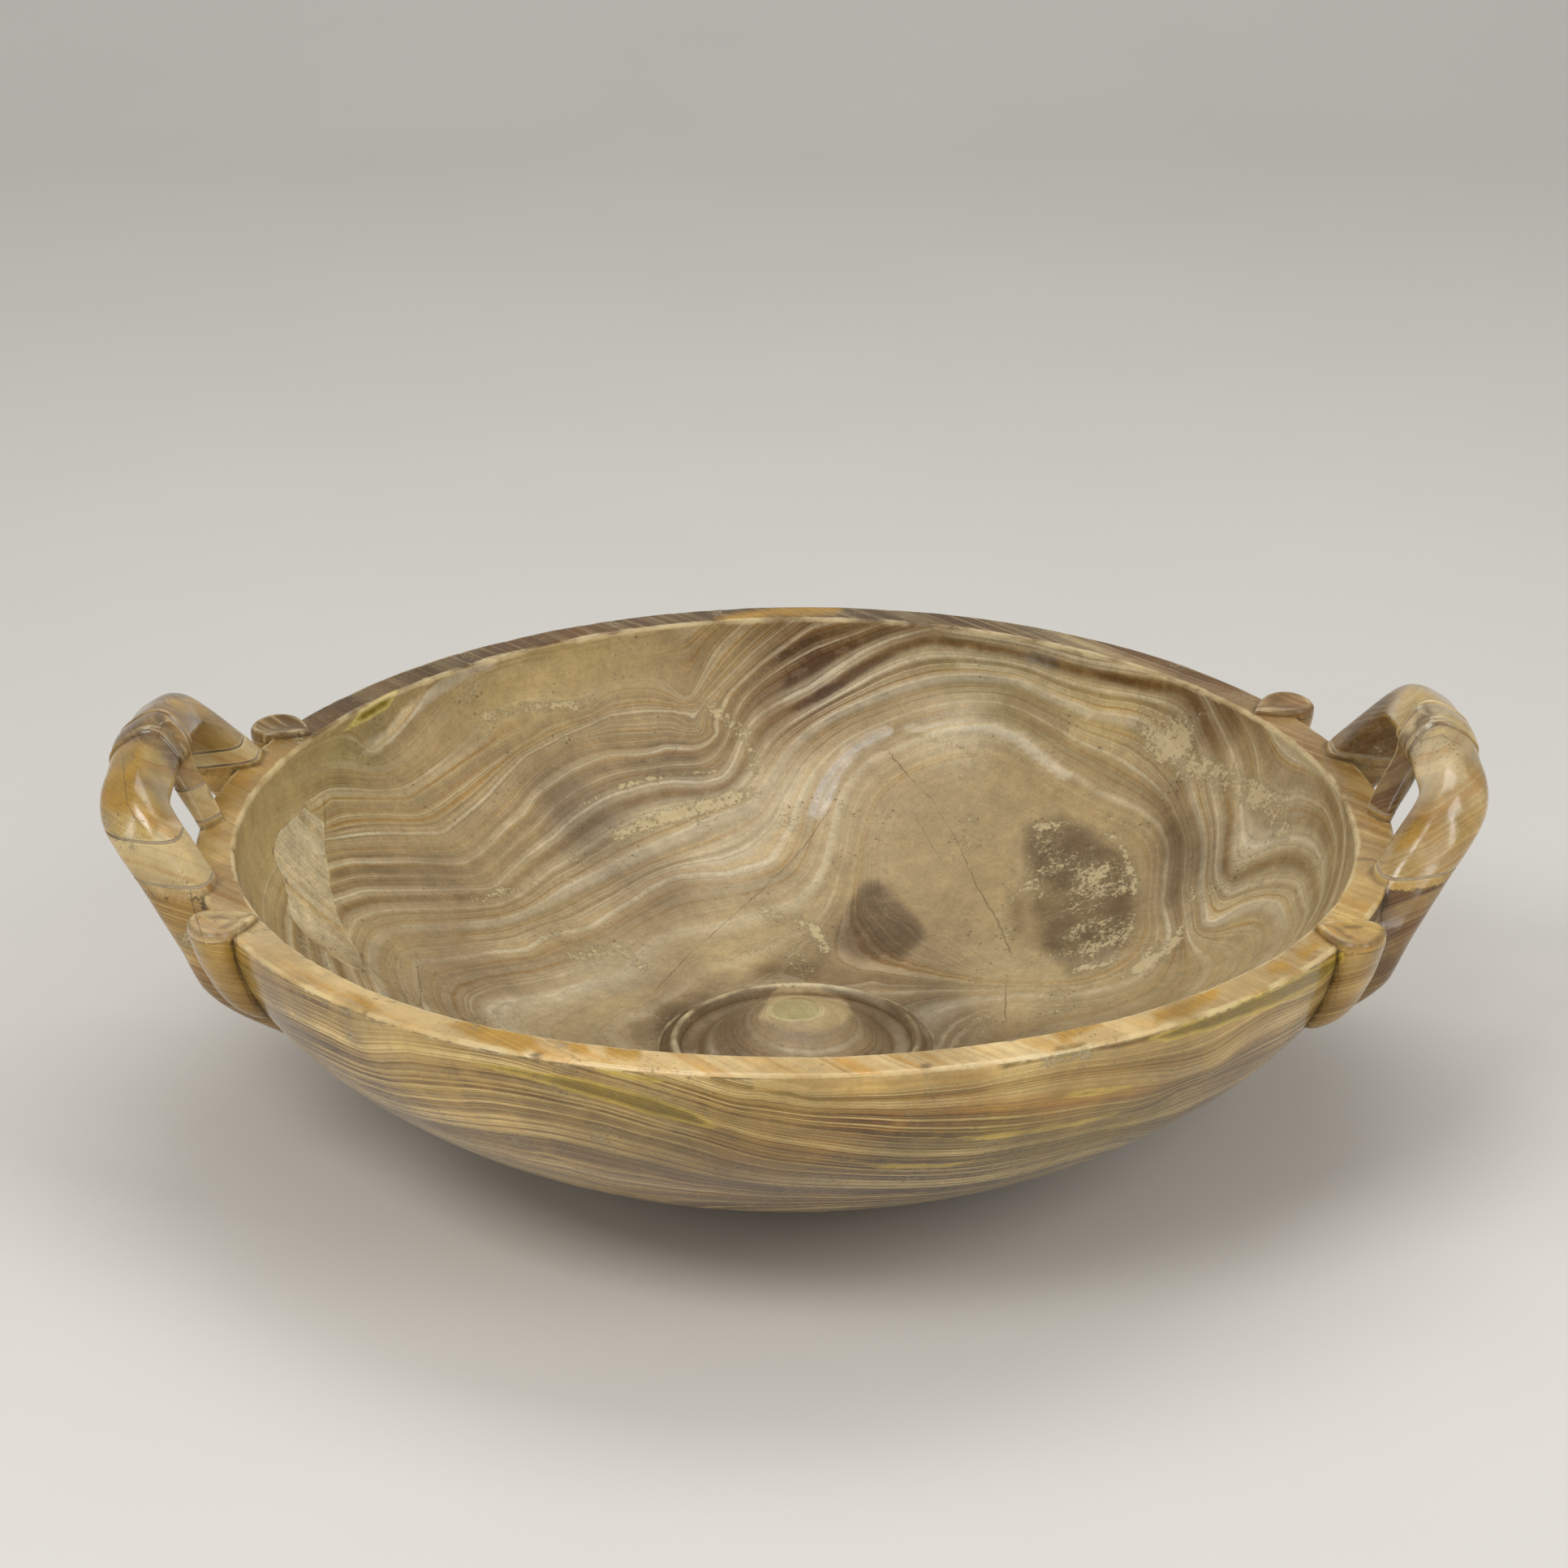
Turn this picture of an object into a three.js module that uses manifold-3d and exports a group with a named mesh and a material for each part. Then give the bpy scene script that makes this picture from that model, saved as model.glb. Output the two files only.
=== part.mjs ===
// A labrum: a wide, shallow basin of banded alabaster on a low foot, with a boss on its floor.
// Two strap handles rise from the rim. Both have broken off and are rejoined with steel pins and
// mortar, the left one over three stone splices, and a stone insert fills a loss in the inner wall.
// Millimetres, +Z up. The origin is the middle of the underside and the front is -Y.
import * as THREE from "three";
import { mergeVertices } from "three/addons/utils/BufferGeometryUtils.js";
import Module from "manifold-3d";

const wasm = await Module();
wasm.setup();

// Clearance between neighbouring pieces
const gap = 0.3;

// Bowl: heights here and below are measured from the plane of the rim
const rimRadius = 360;
const lipWidth = 24;
const edgeRound = 2.5;
const rimSag = 3.7;
const hollowDepth = 158;
const floorThickness = 37;
const footRadius = 95;
const footHeight = 5;
const footBevel = 1.5;
const outerCurve = { across: 0.974, down: 1.113 };
const innerCurve = { across: 0.95, down: 1.05 };
const bowlSegments = 56;
const wallSteps = 10;
const roundSteps = 2;

// Boss: a dome inside a groove, a raised ring and an outer groove
const domeRadius = 59.5;
const domeRise = 25.5;
const domeGrooveWidth = 11.5;
const ringWidth = 9;
const ringRise = 6;
const outerGrooveWidth = 5;
const grooveDepth = 1.5;
const domeSteps = 5;
const ringSteps = 4;

// Centre plug of pale stone
const plugRadius = 16.5;
const plugDepth = 14;
const plugSegments = 24;

// Handles: spans are arcs along the rim, reach is measured outwards from the rim's edge
const handleHalfSpan = 91;
const handleRise = 42;
const handleReach = 29;
const rootDepth = 50;
const rootInset = 45;
const rimLean = 13.7;
const strapWidth = 38;
const strapThickness = 32;
const handleTurn = THREE.MathUtils.degToRad(1.35);
const strapSides = 16;
const strapSteps = 11;
const rootTaper = 0.6;

// Bead round the middle of each strap
const beadWidth = 36;
const beadEdge = 0.06;
const beadCrown = 0.11;
const beadSteps = 4;

// Strut between the strap and the rim, keeled towards the bowl
const strutRootDepth = 22;
const strutKeel = 12.6;
const strutBack = 3.6;
const leftStrutHalfWidth = 14.5;
const rightStrutHalfWidth = 16;
const strutSides = 14;

// Leaf-shaped lobes lying across the rim beside the handle roots
const lobeHalfWidth = 18;
const lobeReach = 20;
const lobeCrown = 5;
const lobeDepth = 58;
const leftLobeOffset = 24;
const rightLobeOffset = 52;
const lobeSides = 18;

// Joints of the handles
const bedThickness = 1.2;
const jointThickness = bedThickness + 2 * gap;
const stemPinRadius = 4;
const strutPinRadius = 3;
const pinDepth = 12;
const frontSpliceRise = 23;
const centreSpliceRise = 20;
const rearSpliceRise = 11;
const pinSides = 12;

// Insert in the inner wall: its place, its depth and its outline across and up the slope,
// in shares of its half width
const insertAngle = THREE.MathUtils.degToRad(169);
const insertDepthBelowRim = 65;
const insertDepth = 10;
const insertFront = 40;
const insertHalfWidth = 66;
const insertOutline = [
  [-0.8, 0.26], [-0.26, -0.08], [0.09, -0.3], [0.39, -0.53], [0.61, -0.76], [0.88, -0.85], [1, -0.56],
  [1, -0.29], [0.92, -0.05], [0.42, 0.24], [0.27, 0.47], [-0.05, 0.55], [-0.68, 0.5],
];

// Values worked out from the sizes above
const bodyDepth = hollowDepth + floorThickness;
const innerRadius = rimRadius - lipWidth;
const ringInner = domeRadius + domeGrooveWidth;
const bossRadius = ringInner + ringWidth + outerGrooveWidth;
const outerWall = { radius: rimRadius, depth: bodyDepth, curve: outerCurve };
const innerWall = { radius: innerRadius, depth: hollowDepth, curve: innerCurve };
const footTop = wallHeight(outerWall, footRadius);
const underside = footTop - footHeight;
const floorLevel = wallHeight(innerWall, bossRadius);

const sides = [
  {
    name: "left", sign: -1, strutHalfWidth: leftStrutHalfWidth,
    lobeOffset: leftLobeOffset, spliced: true,
  },
  {
    name: "right", sign: 1, strutHalfWidth: rightStrutHalfWidth,
    lobeOffset: rightLobeOffset, spliced: false,
  },
];
const stemX = [-1.5 * handleHalfSpan, handleReach + strapWidth];
const centreX = [-lipWidth * 2, 0.72 * handleReach];
const centreY = [-0.24 * handleHalfSpan, 0.24 * handleHalfSpan];
const branches = [
  {
    name: "front", x: stemX, y: [-2 * handleHalfSpan, -0.4 * handleHalfSpan],
    pinRadius: stemPinRadius, spliceTop: frontSpliceRise, axis: (height) => stemPoint(height, -1),
  },
  {
    name: "centre", x: centreX, y: centreY,
    pinRadius: strutPinRadius, spliceTop: centreSpliceRise, axis: (height) => strutPoint(height),
  },
  {
    name: "rear", x: stemX, y: [0.4 * handleHalfSpan, 2 * handleHalfSpan],
    pinRadius: stemPinRadius, spliceTop: rearSpliceRise, axis: (height) => stemPoint(height, 1),
  },
];

// A point of a wall's curve, from 0 at the rim to a right angle at the axis
function wallPoint(wall, angle) {
  const radius = wall.radius * Math.cos(angle) ** wall.curve.across;
  const height = -wall.depth * Math.sin(angle) ** wall.curve.down;
  return new THREE.Vector2(radius, height);
}

function wallAngleAtRadius(wall, radius) {
  return Math.acos((radius / wall.radius) ** (1 / wall.curve.across));
}

function wallAngleAtHeight(wall, height) {
  return Math.asin((-height / wall.depth) ** (1 / wall.curve.down));
}

function wallHeight(wall, radius) {
  return wallPoint(wall, wallAngleAtRadius(wall, radius)).y;
}

function wallRadius(wall, height) {
  return wallPoint(wall, wallAngleAtHeight(wall, height)).x;
}

// Points of a wall between two angles, both ends included
function wallArc(wall, from, to) {
  const points = [];
  for (let i = 0; i <= wallSteps; i++) {
    points.push(wallPoint(wall, from + ((to - from) * i) / wallSteps));
  }
  return points;
}

// Flat lip with a rounded edge on each side
function lipPoints() {
  const points = [];
  for (let i = 1; i <= roundSteps; i++) {
    const angle = (Math.PI / 2) * (i / roundSteps);
    const inset = edgeRound * (1 - Math.cos(angle));
    const drop = edgeRound * (1 - Math.sin(angle));
    points.push(new THREE.Vector2(rimRadius - inset, -drop));
  }
  const inner = points.map((point) => new THREE.Vector2(innerRadius + rimRadius - point.x, point.y));
  return [...points, ...inner.reverse()];
}

function domeHeight(radius) {
  return floorLevel + domeRise * (1 - (radius / domeRadius) ** 2);
}

// Boss from its outer groove to the middle of the dome
function bossPoints() {
  const points = [new THREE.Vector2(bossRadius - outerGrooveWidth / 2, floorLevel - grooveDepth)];
  for (let i = 0; i <= ringSteps; i++) {
    const share = i / ringSteps;
    const radius = ringInner + ringWidth * (1 - share);
    points.push(new THREE.Vector2(radius, floorLevel + ringRise * Math.sin(Math.PI * share)));
  }
  points.push(new THREE.Vector2(ringInner - domeGrooveWidth / 2, floorLevel - grooveDepth));
  for (let i = 0; i <= domeSteps; i++) {
    const radius = domeRadius * (1 - i / domeSteps);
    points.push(new THREE.Vector2(radius, domeHeight(radius)));
  }
  return points;
}

function bowlProfile() {
  const foot = [
    new THREE.Vector2(0, underside),
    new THREE.Vector2(footRadius - footBevel, underside),
    new THREE.Vector2(footRadius, underside + footBevel),
  ];
  const outer = wallArc(
    outerWall, wallAngleAtRadius(outerWall, footRadius), wallAngleAtHeight(outerWall, -edgeRound),
  );
  const inner = wallArc(
    innerWall, wallAngleAtHeight(innerWall, -edgeRound), wallAngleAtRadius(innerWall, bossRadius),
  );
  return [...foot, ...outer, ...lipPoints(), ...inner, ...bossPoints()];
}

function revolve(profile, segments) {
  return new THREE.LatheGeometry(profile, segments).rotateX(Math.PI / 2);
}

// How far the rim dips towards the handles and rises at front and back, fading to none at the foot
function saddle(height, angle) {
  const share = (height - underside) / -underside;
  return -rimSag * Math.cos(2 * angle) * share ** 2;
}

function bendToSaddle(geometry) {
  const position = geometry.attributes.position;
  for (let i = 0; i < position.count; i++) {
    const angle = Math.atan2(position.getY(i), position.getX(i));
    const height = position.getZ(i);
    position.setZ(i, height + saddle(height, angle));
  }
  return geometry;
}

// Closed skin through rings of equal counts of points, with a fan over each end
function loft(rings) {
  const count = rings[0].length;
  const points = rings.flat();
  const faces = [];
  for (let i = 0; i < rings.length - 1; i++) {
    for (let j = 0; j < count; j++) {
      const a = i * count + j;
      const b = i * count + ((j + 1) % count);
      faces.push(a, b, b + count, a, b + count, a + count);
    }
  }
  for (const first of [0, (rings.length - 1) * count]) {
    const middle = new THREE.Vector3();
    for (let j = 0; j < count; j++) {
      middle.addScaledVector(points[first + j], 1 / count);
    }
    points.push(middle);
    for (let j = 0; j < count; j++) {
      const a = first + j;
      const b = first + ((j + 1) % count);
      faces.push(...(first === 0 ? [points.length - 1, b, a] : [points.length - 1, a, b]));
    }
  }
  const geometry = new THREE.BufferGeometry().setFromPoints(points);
  geometry.setIndex(faces);
  return geometry;
}

// A geometry as a closed solid: corners merged, empty faces dropped, faces turned outwards
function solid(geometry) {
  geometry.deleteAttribute("normal");
  geometry.deleteAttribute("uv");
  const merged = mergeVertices(geometry, 1e-4);
  const index = merged.index;
  const corner = (i) => new THREE.Vector3().fromBufferAttribute(merged.attributes.position, i);
  const triangles = [];
  let volume = 0;
  for (let i = 0; i < index.count; i += 3) {
    const a = index.getX(i);
    const b = index.getX(i + 1);
    const c = index.getX(i + 2);
    if (a !== b && b !== c && c !== a) {
      triangles.push(a, b, c);
      volume += corner(a).dot(corner(b).cross(corner(c)));
    }
  }
  const facing = volume < 0 ? triangles.reverse() : triangles;
  const vertProperties = Float32Array.from(merged.attributes.position.array);
  return new wasm.Manifold(new wasm.Mesh({ numProp: 3, vertProperties, triVerts: Uint32Array.from(facing) }));
}

function mesh(name, body, material) {
  const { vertProperties, triVerts } = body.getMesh();
  const geometry = new THREE.BufferGeometry();
  geometry.setAttribute("position", new THREE.BufferAttribute(Float32Array.from(vertProperties), 3));
  geometry.setIndex(Array.from(triVerts));
  geometry.computeVertexNormals();
  const result = new THREE.Mesh(geometry, material);
  result.name = name;
  return result;
}

// Place of a point beside the rim, in a handle's own frame: outwards, along the rim and up
function onRim(outwards, along, height) {
  const angle = along / rimRadius;
  const radius = rimRadius + outwards;
  return new THREE.Vector3(radius * Math.cos(angle), radius * Math.sin(angle), height);
}

// A geometry of the handle's own frame as a solid on one side of the bowl
function handleSolid(geometry, side) {
  return solid(geometry.rotateZ(handleTurn).scale(side.sign, 1, 1));
}

// Middle line of the strap from the front root over the top to the rear root
function strapCurve() {
  const half = [
    [-rootInset, 1.55, -1.56 * rootDepth],
    [-0.31 * rootInset, 1.46, -rootDepth],
    [-0.067 * rootInset, 1.23, -0.58 * rootDepth],
    [rimLean, 1, 0],
    [handleReach + 0.29 * rimLean, 0.733, 0.735 * handleRise],
    [handleReach + 0.1 * rimLean, 0.368, 0.965 * handleRise],
  ];
  const front = half.map(([out, along, height]) => onRim(out, -along * handleHalfSpan, height));
  const rear = half.map(([out, along, height]) => onRim(out, along * handleHalfSpan, height));
  return new THREE.CatmullRomCurve3([...front, onRim(handleReach, 0, handleRise), ...rear.reverse()]);
}

const strapLine = strapCurve();
const handleMiddle = new THREE.Vector3(rimRadius, 0, 0);

// Place along the strap, between two places, where one coordinate reaches a value as it grows
function placeOnStrap(axis, value, from, to) {
  let low = from;
  let high = to;
  for (let i = 0; i < 40; i++) {
    const middle = (low + high) / 2;
    if (strapLine.getPoint(middle)[axis] < value) low = middle;
    else high = middle;
  }
  return (low + high) / 2;
}

// One closed outline of the strap: full outside, flatter towards the hand
function strapRing(place, swell) {
  const point = strapLine.getPoint(place);
  const along = strapLine.getTangent(place);
  const up = point.clone().sub(handleMiddle);
  up.addScaledVector(along, -up.dot(along)).normalize();
  const across = along.clone().cross(up);
  const ring = [];
  for (let j = 0; j < strapSides; j++) {
    const angle = (2 * Math.PI * j) / strapSides;
    const wide = Math.sign(Math.cos(angle)) * Math.abs(Math.cos(angle)) ** 0.75;
    const high = Math.sign(Math.sin(angle)) * Math.abs(Math.sin(angle)) ** (Math.sin(angle) > 0 ? 0.85 : 0.6);
    const spot = point.clone();
    spot.addScaledVector(across, (wide * swell * strapWidth) / 2);
    spot.addScaledVector(up, (high * swell * strapThickness) / 2);
    ring.push(spot);
  }
  return ring;
}

// Strap with its bead, tapered where its roots sink into the wall
function strap() {
  const beadStart = placeOnStrap("y", -beadWidth / 2, 0.25, 0.5);
  const front = [];
  for (let i = 0; i <= strapSteps; i++) {
    const place = (beadStart * i) / strapSteps;
    front.push([place, Math.min(1, rootTaper + 4 * place)]);
  }
  const bead = [];
  for (let i = 0; i <= beadSteps; i++) {
    const share = i / beadSteps;
    bead.push([beadStart + (1 - 2 * beadStart) * share, 1 + beadEdge + beadCrown * Math.sin(Math.PI * share)]);
  }
  const rear = front.map(([place, swell]) => [1 - place, swell]).reverse();
  return loft([...front, ...bead, ...rear].map(([place, swell]) => strapRing(place, swell)));
}

// A level outline, pointed towards the bowl and round outside
function dropRing(inner, outer, halfWidth, height, along, count) {
  const angle = along / rimRadius;
  const ring = [];
  for (let j = 0; j < count; j++) {
    const turn = (2 * Math.PI * j) / count;
    const radius = rimRadius + inner + ((outer - inner) * (1 - Math.cos(turn))) / 2;
    const sideways = 1.3 * halfWidth * Math.sin(turn) * Math.sin(turn / 2);
    const x = radius * Math.cos(angle) - sideways * Math.sin(angle);
    const y = radius * Math.sin(angle) + sideways * Math.cos(angle);
    ring.push(new THREE.Vector3(x, y, height));
  }
  return ring;
}

// Height, keel, back and share of the half width of the strut, from its root to its top
const strutLevels = [
  [-strutRootDepth, -1.59 * strutKeel, -0.79 * strutKeel, 0.8],
  [-rimSag, -1.03 * strutKeel, 0.56 * strutBack, 1],
  [0, -strutKeel, strutBack, 1],
  [0.45 * handleRise, handleReach - 2.7 * strutKeel, handleReach - 1.19 * strutKeel, 0.95],
  [0.8 * handleRise, handleReach - 2.14 * strutKeel, handleReach - 0.71 * strutKeel, 0.95],
  [1.2 * handleRise, handleReach - 1.83 * strutKeel, handleReach - 0.48 * strutKeel, 0.8],
  [1.48 * handleRise, handleReach - 1.11 * strutKeel, handleReach - 0.4 * strutKeel, 0.5],
];

function strut(halfWidth) {
  const ring = ([height, keel, back, share]) => dropRing(keel, back, share * halfWidth, height, 0, strutSides);
  return loft(strutLevels.map(ring));
}

// Leaf-shaped lobe across the rim, its body running down the outer wall
function lobe(side, end) {
  const along = end * (1.46 * handleHalfSpan + side.lobeOffset);
  const seat = saddle(0, along / rimRadius);
  const levels = [
    [-lobeDepth, -1.5 * lipWidth, -0.65 * lobeReach, 0.5],
    [-0.86 * lobeDepth, -1.42 * lipWidth, -0.1 * lobeReach, 0.75],
    [-0.5 * lobeDepth, -lipWidth, 0.55 * lobeReach, 0.92],
    [-0.14 * lobeDepth, -0.77 * lipWidth, 0.925 * lobeReach, 0.98],
    [0.06 * lobeCrown, -0.875 * lipWidth, lobeReach, 1],
    [0.45 * lobeCrown, -0.83 * lipWidth, 0.95 * lobeReach, 0.94],
    [0.85 * lobeCrown, -0.58 * lipWidth, 0.7 * lobeReach, 0.7],
    [lobeCrown, -0.25 * lipWidth, 0.35 * lobeReach, 0.4],
  ];
  const ring = ([height, inner, outer, share]) =>
    dropRing(inner, outer, share * lobeHalfWidth, height + seat, along, lobeSides);
  return solid(loft(levels.map(ring)).scale(side.sign, 1, 1));
}

// Middle of a strap's stem at a height
function stemPoint(height, end) {
  const place = placeOnStrap("z", height, 0, 0.45);
  const point = strapLine.getPoint(place);
  return new THREE.Vector3(point.x, -end * point.y, point.z);
}

// Thick of the strut at a height
function strutPoint(height) {
  const above = strutLevels.findIndex((level) => level[0] > height);
  const [low, high] = [strutLevels[above - 1], strutLevels[above]];
  const share = (height - low[0]) / (high[0] - low[0]);
  const keel = low[1] + (high[1] - low[1]) * share;
  const back = low[2] + (high[2] - low[2]) * share;
  return onRim(keel + 0.58 * (back - keel), 0, height);
}

// Round bar along a branch, through its joints, grown by a clearance all round
function pinShape(branch, top, grown) {
  const start = branch.axis(-pinDepth);
  const end = branch.axis(top + pinDepth);
  const along = end.clone().sub(start);
  const length = along.length() + 2 * grown;
  const turn = new THREE.Quaternion().setFromUnitVectors(new THREE.Vector3(0, 1, 0), along.normalize());
  const radius = branch.pinRadius + grown;
  const geometry = new THREE.CylinderGeometry(radius, radius, length, pinSides);
  geometry.applyQuaternion(turn);
  const middle = start.add(end).multiplyScalar(0.5);
  return geometry.translate(middle.x, middle.y, middle.z);
}

// Block round one branch between two heights
function branchBlock(branch, low, high) {
  const [left, right] = branch.x;
  const [front, rear] = branch.y;
  const geometry = new THREE.BoxGeometry(right - left, rear - front, high - low);
  return geometry.translate(rimRadius + (left + right) / 2, (front + rear) / 2, (low + high) / 2);
}

function finish(color, roughness, metalness = 0) {
  return new THREE.MeshStandardMaterial({ color, roughness, metalness });
}

const alabaster = () => finish(0xb59c78, 0.35);
const paleStone = () => finish(0xd8c7a4, 0.4);
const mortar = () => finish(0xa8a296, 0.85);
const steel = () => finish(0xb8bcc0, 0.3, 1);

// One handle taken apart at its joints: the root that stays on the bowl, the pin holes and the pieces
function takeApart(side) {
  const whole = handleSolid(strap(), side).add(handleSolid(strut(side.strutHalfWidth), side));
  const block = (branch, low, high) => handleSolid(branchBlock(branch, low, high), side);
  const holes = [];
  const pieces = [];
  let root = whole;
  let arch = whole;
  for (const branch of branches) {
    const label = `${side.name}_${branch.name}`;
    const top = side.spliced ? branch.spliceTop : 0;
    const hole = handleSolid(pinShape(branch, top, gap), side);
    const bed = (level) => whole.intersect(block(branch, level + gap, level + gap + bedThickness)).subtract(hole);
    holes.push(hole);
    arch = arch.subtract(block(branch, -2 * rootDepth, top + jointThickness)).subtract(hole);
    root = root.subtract(block(branch, 0, 3 * handleRise));
    if (side.spliced) {
      const splice = whole.intersect(block(branch, jointThickness, top)).subtract(hole);
      pieces.push(mesh(`${label}_splice`, splice, paleStone()));
      pieces.push(mesh(`${label}_lower_bed`, bed(0), mortar()));
      pieces.push(mesh(`${label}_upper_bed`, bed(top), mortar()));
    } else {
      pieces.push(mesh(`${label}_bed`, bed(0), mortar()));
    }
    pieces.push(mesh(`${label}_pin`, handleSolid(pinShape(branch, top, 0), side), steel()));
  }
  root = root.subtract(handleSolid(crownBlock(), side));
  pieces.push(mesh(`${side.name}_handle_arch`, arch, alabaster()));
  return { root, holes, pieces };
}

// Block over the whole handle above the rim, between and beside the branches
function crownBlock() {
  const size = 6 * handleHalfSpan;
  const geometry = new THREE.BoxGeometry(size, size, size);
  return geometry.translate(rimRadius, 0, size / 2);
}

// Outline moved outwards by a distance, its corners mitred
function growOutline(outline, distance) {
  const points = outline.map(([x, y]) => new THREE.Vector2(x, y));
  return points.map((point, i) => {
    const before = points[(i + points.length - 1) % points.length];
    const after = points[(i + 1) % points.length];
    const first = point.clone().sub(before).normalize();
    const second = after.clone().sub(point).normalize();
    const normal = new THREE.Vector2(first.y + second.y, -first.x - second.x).normalize();
    const lean = normal.dot(new THREE.Vector2(first.y, -first.x));
    return point.clone().addScaledVector(normal, distance / lean);
  });
}

// Flat-bottomed block that reaches into the inner wall, square to its slope
function insertBlock(grown) {
  const outline = insertOutline.map(([x, y]) => [x * insertHalfWidth, y * insertHalfWidth]);
  const shape = new THREE.Shape(growOutline(outline, grown));
  const depth = insertFront + insertDepth + grown;
  const geometry = new THREE.ExtrudeGeometry(shape, { depth, bevelEnabled: false });
  const outwards = new THREE.Vector3(Math.cos(insertAngle), Math.sin(insertAngle), 0);
  const up = new THREE.Vector3(0, 0, 1);
  const across = up.clone().cross(outwards);
  const slope = outwards.clone().add(up).normalize();
  const inwards = outwards.clone().sub(up).normalize();
  const seat = outwards.clone().multiplyScalar(wallRadius(innerWall, -insertDepthBelowRim));
  seat.z = -insertDepthBelowRim;
  seat.addScaledVector(inwards, -insertFront);
  const frame = new THREE.Matrix4().makeBasis(across, slope, inwards);
  return geometry.applyMatrix4(frame).translate(seat.x, seat.y, seat.z);
}

// Plug with its top on the dome, or its pocket when grown
function plugShape(grown) {
  const radius = plugRadius + grown;
  const bottom = domeHeight(plugRadius) - plugDepth - grown;
  const profile = [new THREE.Vector2(0, bottom), new THREE.Vector2(radius, bottom)];
  if (grown > 0) {
    profile.push(new THREE.Vector2(radius, domeHeight(0) + plugDepth));
    profile.push(new THREE.Vector2(0, domeHeight(0) + plugDepth));
  } else {
    for (const share of [1, 0.66, 0.33, 0]) {
      profile.push(new THREE.Vector2(radius * share, domeHeight(radius * share)));
    }
  }
  return revolve(profile, plugSegments);
}

function assemble() {
  const handles = sides.map(takeApart);
  let basin = solid(bendToSaddle(revolve(bowlProfile(), bowlSegments)));
  for (const side of sides) {
    for (const end of [-1, 1]) {
      basin = basin.add(lobe(side, end));
    }
  }
  for (const handle of handles) {
    basin = basin.add(handle.root);
  }
  const insert = basin.intersect(solid(insertBlock(0)));
  basin = basin.subtract(solid(insertBlock(gap)));
  basin = basin.subtract(solid(plugShape(gap)));
  for (const hole of handles.flatMap((handle) => handle.holes)) {
    basin = basin.subtract(hole);
  }
  const labrum = new THREE.Group();
  labrum.add(mesh("basin", basin, alabaster()));
  labrum.add(mesh("wall_insert", insert, finish(0xa98f74, 0.4)));
  labrum.add(mesh("centre_plug", solid(plugShape(0)), finish(0xd6cfb4, 0.3)));
  for (const handle of handles) {
    labrum.add(...handle.pieces);
  }
  labrum.position.z = -underside;
  return labrum;
}

const group = new THREE.Group();
group.add(assemble());

export default group;
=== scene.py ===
import math

import bmesh
import bpy
import numpy as np
from mathutils import Matrix, Vector, noise
from mathutils.bvhtree import BVHTree
from mathutils.kdtree import KDTree


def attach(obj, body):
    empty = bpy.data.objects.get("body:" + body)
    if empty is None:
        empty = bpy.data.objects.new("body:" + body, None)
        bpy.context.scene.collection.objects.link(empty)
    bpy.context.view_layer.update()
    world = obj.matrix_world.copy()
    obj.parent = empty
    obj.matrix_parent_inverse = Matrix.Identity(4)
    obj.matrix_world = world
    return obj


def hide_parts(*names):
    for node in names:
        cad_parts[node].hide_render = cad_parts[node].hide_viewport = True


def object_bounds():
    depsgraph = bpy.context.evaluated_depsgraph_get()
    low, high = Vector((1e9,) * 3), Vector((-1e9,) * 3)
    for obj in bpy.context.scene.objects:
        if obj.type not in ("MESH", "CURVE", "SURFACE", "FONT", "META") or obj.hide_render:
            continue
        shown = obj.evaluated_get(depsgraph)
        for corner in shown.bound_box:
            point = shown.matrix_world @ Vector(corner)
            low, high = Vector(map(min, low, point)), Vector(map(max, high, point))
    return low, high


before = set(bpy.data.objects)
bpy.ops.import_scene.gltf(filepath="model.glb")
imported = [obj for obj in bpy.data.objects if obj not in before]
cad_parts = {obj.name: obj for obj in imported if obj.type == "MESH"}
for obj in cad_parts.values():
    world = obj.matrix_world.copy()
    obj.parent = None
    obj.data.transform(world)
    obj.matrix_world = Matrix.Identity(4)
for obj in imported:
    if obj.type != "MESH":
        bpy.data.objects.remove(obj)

CAD_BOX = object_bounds()

# Shapes are worked out in millimetres, with heights from the plane of the rim
MM = 0.001
GAP = 0.3

# Bowl
RIM_RADIUS = 360
LIP_WIDTH = 24
EDGE_ROUND = 2.5
RIM_SAG = 3.7
HOLLOW_DEPTH = 158
FLOOR_THICKNESS = 37
FOOT_RADIUS = 95
FOOT_HEIGHT = 5
FOOT_BEVEL = 1.5
BOWL_SEGMENTS = 760
WALL_STEP = 2.9
OUTER_WALL = {"radius": RIM_RADIUS, "depth": HOLLOW_DEPTH + FLOOR_THICKNESS, "across": 0.974, "down": 1.113}
INNER_WALL = {"radius": RIM_RADIUS - LIP_WIDTH, "depth": HOLLOW_DEPTH, "across": 0.95, "down": 1.05}

# Boss on the floor and its plug
DOME_RADIUS = 59.5
DOME_RISE = 25.5
DOME_GROOVE_WIDTH = 11.5
RING_WIDTH = 9
RING_RISE = 6
OUTER_GROOVE_WIDTH = 5
GROOVE_DEPTH = 1.5
RING_INNER = DOME_RADIUS + DOME_GROOVE_WIDTH
BOSS_RADIUS = RING_INNER + RING_WIDTH + OUTER_GROOVE_WIDTH
PLUG_RADIUS = 16.5
PLUG_DEPTH = 14

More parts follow.
